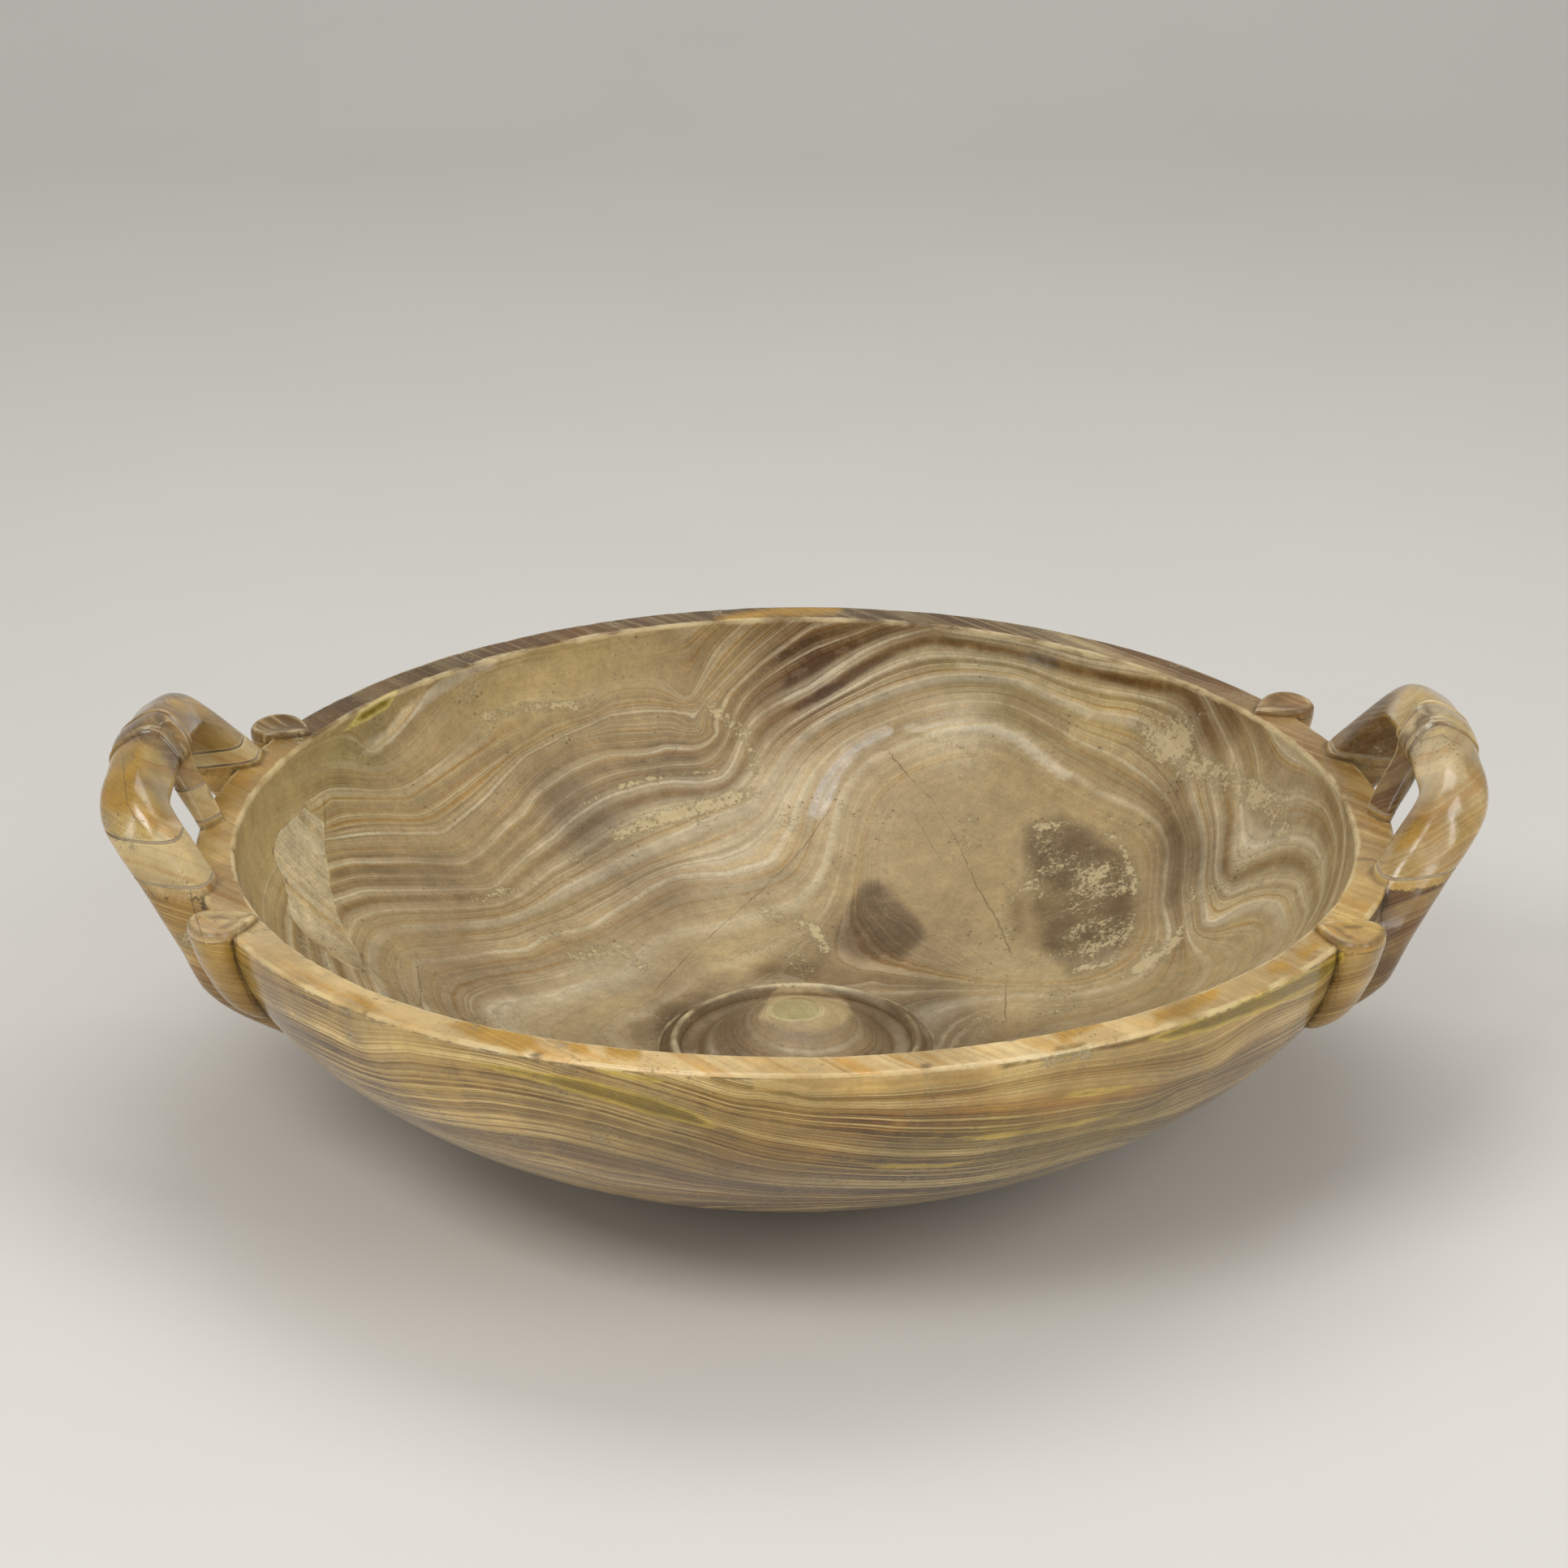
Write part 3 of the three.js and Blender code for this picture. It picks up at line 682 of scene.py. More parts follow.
def take_apart(side):
    """One handle at its joints: its root on the bowl, the pin holes, and the pieces with their nodes."""
    whole = whole_handle(side, 0, "whole")
    slim = whole_handle(side, -BED_INSET, "slim")
    arch = copy_piece(f"{side['name']}_arch_stone", whole)
    root = copy_piece("root", whole)
    holes = []
    pieces = []
    for branch in BRANCHES:
        top = branch["top"] if side["spliced"] else 0
        hole = handle_piece("hole", pin_shape(branch, top, GAP), side)
        holes.append(hole)
        above = branch_block(branch, side, -2 * ROOT_DEPTH, top + JOINT_THICKNESS)
        below = branch_block(branch, side, 0, 3 * HANDLE_RISE)
        combine(arch, "DIFFERENCE", above, hole)
        combine(root, "DIFFERENCE", below)
        drop(above, below)
        pieces += branch_pieces(side, branch, top, whole, slim, hole)
    size = 6 * HANDLE_HALF_SPAN
    crown = box_shape((RIM_RADIUS - size / 2, RIM_RADIUS + size / 2), (-size / 2, size / 2), (0, size))
    crown = handle_piece("crown", crown, side)
    combine(root, "DIFFERENCE", crown)
    drop(whole, slim, crown)
    pieces.append((arch, f"{side['name']}_handle_arch"))
    return root, holes, pieces


def grow_outline(outline, distance):
    """An outline moved outwards by a distance, its corners mitred."""
    points = np.array(outline, float)
    before = points - np.roll(points, 1, axis=0)
    after = np.roll(points, -1, axis=0) - points
    before /= np.linalg.norm(before, axis=1)[:, None]
    after /= np.linalg.norm(after, axis=1)[:, None]
    normal = np.stack([before[:, 1] + after[:, 1], -before[:, 0] - after[:, 0]], axis=1)
    normal /= np.linalg.norm(normal, axis=1)[:, None]
    lean = normal[:, 0] * before[:, 1] - normal[:, 1] * before[:, 0]
    return points + normal * (distance / lean)[:, None]


def ragged(outline):
    """An outline with more points, pushed in and out a little, as a broken edge runs."""
    closed = np.vstack([outline, outline[:1]])
    points = even_steps(closed, INSERT_RAGGED["step"])[:-1]
    spots = points / INSERT_RAGGED["size"]
    push = [[noise.noise(Vector((x, y, seed))) for seed in (5, 9)] for x, y in spots]
    return points + INSERT_RAGGED["push"] * np.array(push)


def insert_block(name, grown):
    """Flat-bottomed block that reaches into the inner wall, square to its slope."""
    outline = ragged(np.array(INSERT_OUTLINE) * INSERT_HALF_WIDTH)
    outline = grow_outline(outline, grown)
    outwards = np.array([math.cos(INSERT_ANGLE), math.sin(INSERT_ANGLE), 0])
    up = np.array([0, 0, 1])
    across = np.cross(up, outwards)
    slope = (outwards + up) / math.sqrt(2)
    inwards = (outwards - up) / math.sqrt(2)
    seat = outwards * wall_radius(INNER_WALL, -INSERT_DEPTH_BELOW_RIM) - up * INSERT_DEPTH_BELOW_RIM
    face = seat + outline[:, :1] * across + outline[:, 1:] * slope - inwards * INSERT_FRONT
    back = face + inwards * (INSERT_FRONT + INSERT_DEPTH + grown)
    return add_piece(name, *loft([face, back]))


def plug_shape(grown):
    """Plug with its top on the dome, or its pocket when grown."""
    radius = PLUG_RADIUS + grown
    bottom = dome_height(PLUG_RADIUS) - PLUG_DEPTH - grown
    sides = [(0, bottom), (radius, bottom)]
    if grown > 0:
        top = dome_height(0) + PLUG_DEPTH
        return revolve(np.array([*sides, (radius, top), (0, top)], float), PLUG_SIDES)
    share = np.linspace(1, 0, 9)
    edge = dome_height(radius) - 0.5
    crown = [(radius * s, dome_height(radius * s)) for s in share[1:]]
    points = [*sides, (radius, edge), (radius - 0.4, edge + 0.5), *crown]
    return revolve(np.array(points, float), PLUG_SIDES)


# Colours of the stone, as written in the picture's own colour space
TINTS = {
    "ivory": "d3bd90", "pale": "d6c49c", "cream": "c8b592", "honey": "bda46e", "khaki": "a59260",
    "tan": "ac9468", "taupe": "9b8460", "deep": "877252", "umber": "755f42", "brown": "86683a",
    "gold": "b89044", "olive": "857025", "pink": "c9b394", "grey": "bdae98", "slate": "a39a88",
    "sand": "b9a276", "bark": "8e7046", "plug": "a99c74", "splice": "ccb78e", "wheat": "c2a868",
    "russet": "6c4d1c", "fawn": "a88d54", "moss": "8a7a30", "rust": "5a4112", "ochre": "b08a38",
    "quartz": "d6cab9", "shell": "dccdb0", "gilt_deep": "a67c22", "gilt_pale": "c8a548",
    "green_rim": "e0d07c", "green": "86760c", "green_streak": "a6943a", "stain": "b3a898", "haze": "b7a178",
    # Below, the pale for arrises is partly a painted highlight, and the dark for creases is partly painted
    # shade
    "crust": "c6b48a", "pit": "55432c", "crack": "5c4c34", "rubbed": "dcc999", "dirt_and_shade": "614b2c",
    "mortar_deep": "857258", "mortar_pale": "bba888", "mortar_dirt": "66543c", "steel_deep": "9a9c9e",
    "steel_pale": "c0c2c4", "floor_deep": "d3d0ca", "floor_pale": "d9d6d0",
}

# Lines along the stone's layers inside the bowl: a level, and pixels of the photograph that it passes
INNER_LAYERS = [
    (9.2, [(549, 825), (520, 847), (500, 877), (483, 899), (457, 921)]),
    (7.6, [(700, 847), (749, 829), (800, 823), (838, 818), (846, 862), (868, 795)]),
    (7.0, [(608, 888), (660, 872), (727, 870)]),
    (6.8, [(408, 986), (508, 988), (549, 958), (600, 925), (650, 900)]),
    (6.0, [
        (403, 1034), (449, 1027), (546, 1028), (571, 1007), (600, 981), (650, 929), (700, 905), (749, 881),
        (800, 875), (849, 875), (855, 886), (870, 862), (900, 833), (934, 799), (980, 764),
    ]),
    (5.6, [(700, 916), (749, 910), (820, 904), (868, 908), (876, 905)]),
    (5.0, [
        (405, 1070), (431, 1062), (500, 1062), (571, 1066), (600, 1047), (623, 1021), (650, 999),
        (660, 981), (700, 953), (749, 931), (800, 929), (820, 921), (860, 923), (875, 914), (883, 888),
        (901, 851), (940, 815), (1000, 772),
    ]),
    (4.0, [
        (408, 1110), (449, 1097), (549, 1097), (608, 1096), (650, 1055), (690, 1025), (700, 1014),
        (749, 981), (800, 966), (827, 962), (868, 964), (897, 955), (905, 936), (912, 918), (927, 888),
        (960, 866), (1000, 846), (1063, 803), (1100, 787), (1150, 775),
    ]),
    (3.0, [
        (697, 1096), (749, 1073), (800, 1047), (846, 1025), (883, 1007), (920, 996), (949, 962), (972, 925),
        (1001, 897), (1036, 877), (1100, 852), (1150, 838), (1201, 834), (1259, 842), (1300, 862),
        (1350, 881), (1400, 887), (1440, 920), (1463, 958), (1471, 991), (1483, 1030), (1479, 1093),
        (1485, 1138), (1500, 1136), (1530, 1116), (1557, 1111), (1573, 1116), (1581, 1140), (1573, 1167),
    ]),
    (2.4, [
        (512, 1183), (549, 1183), (600, 1173), (650, 1168), (675, 1151), (700, 1149), (727, 1142),
        (749, 1125), (786, 1105), (800, 1092), (820, 1084), (838, 1077), (864, 1075), (900, 1073),
        (950, 1060), (975, 1020),
    ]),
    (1.8, [
        (600, 1244), (623, 1234), (675, 1233), (700, 1218), (749, 1208), (771, 1196), (783, 1177),
        (800, 1162), (820, 1151), (849, 1142), (900, 1133), (942, 1118), (980, 1110), (1005, 1085),
        (1020, 1054), (1026, 1022), (1036, 983), (1052, 956), (1079, 932), (1102, 924), (1150, 901),
        (1193, 895), (1220, 894), (1259, 909), (1283, 928), (1300, 944), (1318, 952), (1350, 975),
        (1400, 995), (1428, 1014), (1440, 1046), (1436, 1073), (1432, 1112), (1444, 1152), (1428, 1183),
        (1400, 1211), (1350, 1224), (1300, 1228), (1252, 1226), (1201, 1234), (1150, 1242),
    ]),
    (1.0, [
        (1087, 1038), (1099, 1007), (1114, 979), (1150, 963), (1201, 954), (1244, 967), (1267, 995),
        (1300, 1007), (1350, 1022), (1381, 1042), (1399, 1073), (1400, 1112), (1389, 1152), (1373, 1179),
        (1342, 1197), (1300, 1201), (1244, 1201), (1204, 1187), (1173, 1163), (1150, 1152), (1142, 1132),
        (1100, 1120), (1087, 1090), (1087, 1038),
    ]),
    (0.3, [(1150, 1040), (1200, 1080), (1260, 1110)]),
    (3.4, [(1499, 1085), (1510, 1105), (1542, 1093), (1573, 1089), (1597, 1093), (1602, 1116)]),
    (3.8, [
        (1467, 846), (1487, 889), (1499, 920), (1510, 948), (1518, 1003), (1514, 1046), (1514, 1081),
        (1542, 1065), (1573, 1054), (1600, 1056), (1620, 1073), (1624, 1112), (1604, 1152),
    ]),
    (4.2, [(1495, 862), (1510, 889), (1530, 928), (1538, 975)]),
    (4.6, [
        (1534, 885), (1550, 916), (1557, 960), (1581, 975), (1600, 971), (1636, 991), (1650, 1038),
        (1636, 1105), (1614, 1142),
    ]),
]
# The same on the outside of the bowl
OUTER_LAYERS = [
    (0.0, [(1382, 1290), (1450, 1272), (1500, 1247), (1557, 1222), (1577, 1212)]),
    (0.0, [(1000, 1345), (1100, 1340), (1200, 1328)]),
    (-0.3, [(860, 1320), (950, 1328), (1050, 1327), (1150, 1319), (1250, 1305), (1350, 1285)]),
    (0.0, [(1625, 1201), (1648, 1178), (1660, 1163)]),
    (1.0, [
        (940, 1350), (1000, 1360), (1100, 1362), (1148, 1360), (1250, 1350), (1300, 1340), (1350, 1334),
        (1400, 1330), (1450, 1328), (1500, 1310),
    ]),
    (2.0, [
        (700, 1315), (750, 1328), (800, 1343), (850, 1358), (900, 1375), (1000, 1392), (1100, 1402),
        (1190, 1403), (1250, 1397), (1300, 1389), (1350, 1378), (1400, 1370), (1423, 1362), (1450, 1345),
        (1500, 1326), (1560, 1300),
    ]),
    (3.0, [
        (505, 1300), (559, 1309), (600, 1315), (636, 1322), (700, 1338), (750, 1350), (800, 1366),
        (850, 1381), (890, 1391), (940, 1407), (1000, 1416), (1050, 1424), (1100, 1428), (1148, 1428),
        (1200, 1426), (1250, 1416), (1300, 1407), (1350, 1395), (1400, 1387), (1450, 1374), (1500, 1349),
        (1550, 1324),
    ]),
    (4.0, [
        (505, 1345), (551, 1349), (600, 1351), (650, 1359), (700, 1368), (750, 1380), (800, 1395),
        (850, 1407), (900, 1422), (940, 1433), (1000, 1440), (1100, 1446), (1148, 1446), (1200, 1442),
        (1250, 1433), (1350, 1408), (1400, 1396),
    ]),
    (5.0, [
        (560, 1400), (650, 1420), (750, 1442), (850, 1460), (950, 1470), (1050, 1474), (1150, 1470),
        (1250, 1455),
    ]),
    (2.6, [(350, 1240), (400, 1265), (440, 1285)]),
    (4.2, [(330, 1262), (380, 1310), (430, 1345)]),
]
# Layers at the back of the outside, which the photograph hides: level, height and turn from the front
BACK_LAYERS = [
    (1.0, [(-12, 110), (-20, 150), (-14, 180), (-20, 215), (-16, 250)]),
    (3.0, [(-46, 105), (-58, 140), (-50, 180), (-62, 215), (-50, 255)]),
    (4.6, [(-86, 100), (-104, 140), (-92, 180), (-108, 220), (-90, 260)]),
    (6.4, [(-150, 0), (-150, 60), (-140, 120), (-152, 180), (-140, 240), (-150, 300)]),
]

# Spots of colour: tints and pixels of the photograph
INNER_TINTS = {
    "honey": [(620, 850), (700, 820), (330, 960), (350, 1020), (1300, 800), (1380, 850)],
    "khaki": [(430, 930), (1180, 820), (1250, 870)],
    "tan": [
        (480, 1000), (560, 940), (500, 1045), (640, 1010), (480, 1150), (760, 900), (640, 1100),
        (700, 1170), (900, 930), (1180, 1050), (1150, 990), (1050, 1060), (1450, 1180), (1400, 1040),
        (1250, 960), (1100, 840), (900, 830),
    ],
    "taupe": [(520, 1080), (830, 940), (800, 1100), (560, 1200), (1460, 1060), (1060, 1180), (850, 1230)],
    "deep": [(700, 1000)],
    "cream": [(900, 1060), (740, 1200), (960, 980), (1570, 1010), (1180, 900)],
    "sand": [
        (840, 1020), (760, 1240), (900, 1180), (1000, 1050), (930, 1130), (1250, 1215), (1520, 960),
        (1620, 1040), (1560, 1080),
    ],
    "bark": [(1500, 870), (1000, 800), (1120, 780), (960, 860)],
}
BOSS_TINTS = {
    "umber": [(900, 1265), (1080, 1260)], "taupe": [(980, 1275), (985, 1262)],
    "deep": [(830, 1260), (1130, 1265)],
}
OUTER_TINTS = {
    "wheat": [
        (520, 1330), (900, 1340), (1100, 1330), (1500, 1290), (1600, 1250), (285, 1180), (1665, 1165),
        (200, 1135),
    ],
    "sand": [(430, 1300), (560, 1400)],
    "tan": [(700, 1420)],
    "fawn": [
        (450, 1340), (1300, 1360), (1450, 1320), (700, 1345), (225, 1160), (300, 1235), (350, 1260),
        (1680, 1220), (1650, 1225),
    ],
    "honey": [(1000, 1360), (600, 1335)],
    "gold": [(1100, 1375)],
    # The bark spot at (900, 1450) and the brown spots at (950, 1480) and (1100, 1440) lie low on the outer
    # wall, where it turns under away from the light: partly the stone's colour, partly painted shade
    "bark": [(900, 1450), (260, 1210)],
    "brown": [(950, 1480), (1100, 1440), (1520, 1320)],
    "moss": [(1350, 1400), (1250, 1430), (1230, 1390), (1120, 1415), (1420, 1370)],
    "pale": [(1250, 1310), (800, 1310), (480, 1290)],
    "ochre": [(1180, 1350), (1050, 1385)],
    "russet": [(1695, 1180), (1720, 1130)],
}
LIP_TINTS = {
    "ivory": [(380, 1200), (480, 1245), (850, 1300), (1000, 1305), (1150, 1300), (1380, 1262)],
    "pale": [(700, 1275), (1250, 1285)],
    "sand": [(1500, 1225), (1600, 1170), (1650, 1090)],
    "bark": [(1640, 1000), (1560, 890)],
    "russet": [(1450, 825), (700, 790)],
    "rust": [(1300, 785), (1150, 758), (1000, 751), (850, 762), (550, 835), (430, 890)],
    "fawn": [(330, 960), (1690, 880)],
    "honey": [(290, 1040)],
    "tan": [(300, 1110)],
    "cream": [(285, 1135)],
    "wheat": [(1660, 1138)],
}
ARCH_TINTS = {
    "left": {
        "wheat": [(190, 940), (200, 1000), (165, 1020)], "russet": [(170, 900), (230, 862), (220, 940)],
        "bark": [(250, 930)], "fawn": [(275, 900), (170, 1050), (285, 945), (235, 1050)],
        "pink": [(220, 1035)], "gold": [(200, 1062), (150, 960)], "cream": [(200, 975)],
    },
    "right": {
        # The shell spots at (1770, 940) and (1785, 950) are partly pale stone and partly a painted
        # highlight on the arch's outer face
        "shell": [(1770, 940), (1760, 885), (1785, 950)], "cream": [(1780, 980), (1745, 1045)],
        "wheat": [(1800, 900), (1730, 870)], "gold": [(1745, 1022)],
        "fawn": [(1740, 1060), (1800, 1010), (1815, 950)],
        "russet": [(1740, 1090), (1680, 900), (1720, 950)], "bark": [(1700, 930)],
    },
}

# Outlined patches of one tint: tint, strength, softness in pixels and the outline
BASIN_PATCHES = [
    ("umber", 0.6, 7, [
        (1028, 1143), (1046, 1112), (1064, 1088), (1083, 1085), (1101, 1107), (1132, 1131), (1140, 1156),
        (1113, 1180), (1064, 1182), (1028, 1168),
    ]),
    ("umber", 0.62, 14, [
        (1266, 1015), (1309, 1006), (1358, 1033), (1394, 1064), (1400, 1107), (1388, 1162), (1358, 1192),
        (1321, 1198), (1284, 1168), (1290, 1130), (1320, 1100), (1290, 1088), (1262, 1062),
    ]),
    ("quartz", 0.9, 4, [
        (1098, 893), (1075, 900), (1040, 920), (1012, 955), (995, 1003), (1008, 1010), (1024, 990),
        (1035, 955), (1062, 925), (1100, 905),
    ]),
    ("brown", 0.6, 9, [
        (1150, 770), (1240, 776), (1330, 800), (1400, 840), (1390, 852), (1320, 822), (1240, 799),
        (1160, 791),
    ]),
    ("brown", 0.5, 11, [(1235, 850), (1280, 860), (1320, 890), (1310, 912), (1270, 900), (1232, 872)]),
    ("brown", 0.35, 12, [(560, 1100), (620, 1088), (645, 1118), (590, 1150), (560, 1172)]),
    ("pale", 0.7, 4, [
        (1180, 815), (1240, 822), (1310, 850), (1350, 880), (1340, 886), (1300, 862), (1236, 834),
        (1180, 826),
    ]),
    ("shell", 0.7, 4, [
        (1113, 893), (1180, 889), (1220, 888), (1262, 903), (1300, 938), (1322, 956), (1310, 962),
        (1286, 944), (1250, 916), (1210, 900), (1113, 902),
    ]),
    ("pale", 0.65, 4, [
        (1013, 828), (1080, 806), (1147, 794), (1213, 793), (1270, 800), (1270, 809), (1213, 805),
        (1147, 808), (1080, 824), (1020, 846),
    ]),
    ("russet", 0.5, 6, [(1000, 852), (1050, 817), (1100, 802), (1105, 810), (1060, 834), (1015, 868)]),
    ("slate", 0.9, 3, [(1258, 806), (1275, 802), (1292, 808), (1308, 820), (1290, 824), (1268, 816)]),
    ("sand", 0.95, 4, [
        (934, 1254), (950, 1226), (961, 1214), (1001, 1212), (1044, 1234), (1050, 1250), (1036, 1262),
        (1004, 1273), (969, 1269),
    ]),
    ("shell", 0.6, 6, [
        (500, 1290), (560, 1296), (620, 1302), (700, 1318), (690, 1324), (600, 1312), (520, 1300),
    ]),
    ("shell", 0.5, 8, [
        (860, 1318), (950, 1330), (1100, 1322), (1250, 1300), (1300, 1290), (1280, 1310), (1150, 1336),
        (1000, 1346), (900, 1340),
    ]),
    ("pale", 0.9, 3, [
        (600, 1322), (660, 1333), (720, 1350), (800, 1375), (870, 1392), (860, 1398), (790, 1384),
        (700, 1360), (620, 1332),
    ]),
    ("shell", 0.8, 4, [
        (446, 914), (475, 903), (497, 874), (527, 850), (567, 826), (607, 812), (612, 820), (572, 838),
        (533, 862), (505, 886), (482, 914), (450, 926),
    ]),
    ("khaki", 0.8, 4, [(560, 1293), (620, 1298), (680, 1308), (650, 1306), (600, 1302)]),
    ("khaki", 0.9, 3, [(1300, 1290), (1335, 1284), (1345, 1292), (1310, 1312), (1292, 1308)]),
    ("olive", 0.6, 5, [(1290, 1350), (1340, 1340), (1400, 1336), (1395, 1344), (1330, 1356)]),
    ("gold", 0.6, 8, [
        (1150, 1350), (1300, 1348), (1440, 1330), (1470, 1325), (1400, 1350), (1300, 1372), (1160, 1380),
    ]),
    ("grey", 0.5, 4, [(740, 1365), (800, 1380), (860, 1398), (850, 1402), (780, 1386)]),
    ("slate", 0.5, 3, [(1080, 1458), (1140, 1460), (1230, 1450), (1200, 1458), (1120, 1464)]),
    ("khaki", 0.6, 5, [(380, 955), (420, 920), (470, 880), (500, 850), (470, 900), (440, 950), (410, 975)]),
    ("pale", 0.8, 3, [(440, 935), (470, 910), (490, 880), (510, 862), (500, 885), (470, 925)]),
    ("pink", 0.35, 9, [(1290, 1180), (1360, 1165), (1400, 1175), (1340, 1196)]),
]
# Clear green patches, and golden ones on the lip, with crisp edges
GREEN_PATCHES = [
    [
        (559, 1304), (600, 1309), (650, 1317), (720, 1328), (790, 1346), (850, 1367), (893, 1391),
        (870, 1391), (800, 1374), (750, 1360), (700, 1345), (640, 1327), (590, 1315),
    ],
    [(717, 1313), (760, 1317), (820, 1331), (800, 1335), (751, 1325)],
    [
        (1400, 1282), (1440, 1268), (1492, 1248), (1530, 1232), (1569, 1216), (1610, 1196), (1648, 1176),
        (1660, 1162), (1656, 1184), (1630, 1212), (1569, 1241), (1502, 1267), (1440, 1284),
    ],
    [(1290, 1352), (1340, 1341), (1400, 1336), (1395, 1342), (1330, 1354)],
    [(1010, 1424), (1080, 1434), (1160, 1434), (1240, 1424), (1160, 1440), (1080, 1440)],
    [(1120, 1402), (1220, 1398), (1330, 1380), (1400, 1366), (1330, 1387), (1220, 1405)],
    [(444, 874), (470, 858), (492, 848), (480, 872), (450, 890), (420, 905)],
]
GOLD_PATCHES = [
    [(551, 1264), (575, 1256), (600, 1262), (655, 1274), (662, 1288), (640, 1297), (592, 1283)],
    [(700, 1282), (722, 1284), (727, 1298), (706, 1296)],
    [(744, 1286), (790, 1290), (788, 1306), (750, 1302)],
    [(1298, 1272), (1350, 1256), (1358, 1264), (1310, 1282)],
    [(1419, 1248), (1470, 1229), (1500, 1212), (1500, 1228), (1460, 1252), (1425, 1260)],
    [(1560, 1192), (1580, 1184), (1592, 1192), (1568, 1202)],
    [(1597, 1175), (1620, 1158), (1630, 1164), (1605, 1184)],
    [(430, 1222), (452, 1232), (470, 1246), (448, 1244)],
    [(880, 762), (930, 752), (990, 746), (1040, 748), (1030, 756), (960, 760), (900, 768)],
]
ARCH_GOLD = {
    "left": [
        [(140, 918), (174, 914), (176, 945), (168, 983), (152, 1003), (134, 996), (125, 967), (129, 934)],
        [(168, 1060), (215, 1055), (252, 1048), (264, 1070), (240, 1076), (215, 1066), (180, 1068)],
        [(205, 862), (240, 856), (262, 872), (250, 884), (222, 876)],
    ],
    "right": [[(1715, 1037), (1728, 1018), (1752, 1006), (1762, 1022), (1738, 1044), (1718, 1050)]],
}
# Seams and creases drawn on the handles, their roots and the lip
BASIN_SEAMS = [
    [(239, 1074), (234, 1097), (241, 1126), (248, 1150)],
    [(241, 1077), (273, 1066), (302, 1068)],
    [(291, 1152), (289, 1180), (300, 1214), (318, 1250)],
    [(1709, 1063), (1713, 1075), (1707, 1098), (1701, 1127), (1702, 1152)],
    [(1655, 1060), (1686, 1058), (1709, 1065)],
    [(1648, 1178), (1650, 1210), (1644, 1236)],
    [(262, 1001), (285, 1015), (296, 1022)],
]
ARCH_SEAMS = {
    "left": [
        [(150, 918), (153, 960), (156, 990), (170, 1012)], [(146, 912), (170, 906), (200, 888)],
        [(190, 868), (204, 885), (196, 905)],
    ],
    "right": [
        [(1754, 912), (1775, 905), (1800, 918)], [(1745, 868), (1748, 890), (1742, 910)],
        [(1690, 1050), (1700, 1062), (1720, 1066)],
    ],
}
ARCH_PATCHES = {
    "left": [
        ("sand", 0.6, 3, [(146, 940), (152, 938), (153, 985), (146, 985)]),
        ("shell", 0.85, 6, [(196, 1014), (240, 1005), (244, 1040), (214, 1052), (190, 1040)]),
    ],
    "right": [("pale", 0.8, 3, [(1790, 925), (1806, 940), (1808, 965), (1798, 975), (1796, 945)])],
}

# Beige crust, most of it inside: half width of a path, or 0 for an outline, softness and pixels
CRUSTS = [
    (0, 24, [
        (1396, 866), (1450, 880), (1490, 925), (1540, 950), (1600, 985), (1615, 1030), (1580, 1045),
        (1540, 1000), (1500, 990), (1470, 960), (1420, 950), (1396, 920),
    ]),
    (0, 110, [(1275, 1040), (1380, 1050), (1390, 1160), (1300, 1190)]),
    (7, 6, [(600, 884), (650, 872), (700, 868), (760, 862)]),
    (8, 8, [(575, 1112), (610, 1100), (650, 1092), (697, 1084)]),
    (5, 7, [(700, 1000), (760, 970), (830, 955), (880, 950)]),
    (9, 10, [(760, 1030), (830, 1005), (880, 990), (930, 975)]),
    (5, 9, [
        (1275, 1020), (1330, 1012), (1380, 1035), (1398, 1085), (1396, 1140), (1370, 1185), (1310, 1200),
    ]),
    (5, 7, [(1400, 1195), (1440, 1170), (1465, 1130), (1470, 1095)]),
    (4, 6, [(1130, 905), (1180, 920), (1210, 935)]),
    (6, 8, [(380, 990), (360, 1030), (345, 1065)]),
    (5, 6, [(430, 1165), (450, 1195), (470, 1215)]),
    (10, 14, [(870, 870), (920, 905), (930, 950)]),
    (6, 10, [(940, 1120), (1000, 1140), (1020, 1170)]),
    (8, 12, [(700, 1180), (760, 1170), (790, 1190)]),
    (6, 10, [(1290, 1310), (1340, 1300)]),
    (5, 10, [(400, 1235), (470, 1262)]),
]
# Dark, cloudy stains on the inside
STAINS = [
    (0, 30, [
        (1262, 1020), (1310, 1000), (1396, 1056), (1404, 1107), (1390, 1170), (1321, 1204), (1270, 1160),
    ]),
    (0, 22, [(1026, 1160), (1064, 1084), (1090, 1084), (1144, 1150), (1110, 1186), (1050, 1186)]),
    (0, 18, [(920, 1190), (960, 1180), (1015, 1188), (1008, 1208), (936, 1208)]),
    (0, 22, [(818, 1238), (870, 1220), (884, 1232), (832, 1264), (815, 1292), (803, 1270)]),
    (0, 16, [(402, 1178), (430, 1158), (444, 1176), (420, 1190)]),
    (0, 40, [(1410, 950), (1470, 960), (1480, 1060), (1450, 1130), (1424, 1080), (1420, 1010)]),
    (0, 22, [(1240, 1100), (1262, 1110), (1268, 1150), (1246, 1160)]),
]
# Cracks in the floor and wall of the inside
CRACKS = [
    [(1102, 936), (1150, 987), (1181, 1038), (1204, 1093), (1228, 1132), (1244, 1171)],
    [(1020, 1000), (985, 1050), (945, 1090), (890, 1140), (845, 1180), (812, 1215)],
    [(515, 1195), (518, 1215), (519, 1240)],
    [(400, 985), (401, 1010), (401, 1055)],
    [(446, 1181), (470, 1205), (510, 1235)],
    [(1240, 1215), (1238, 1250)],
    [(1130, 1010), (1160, 1060)],
]


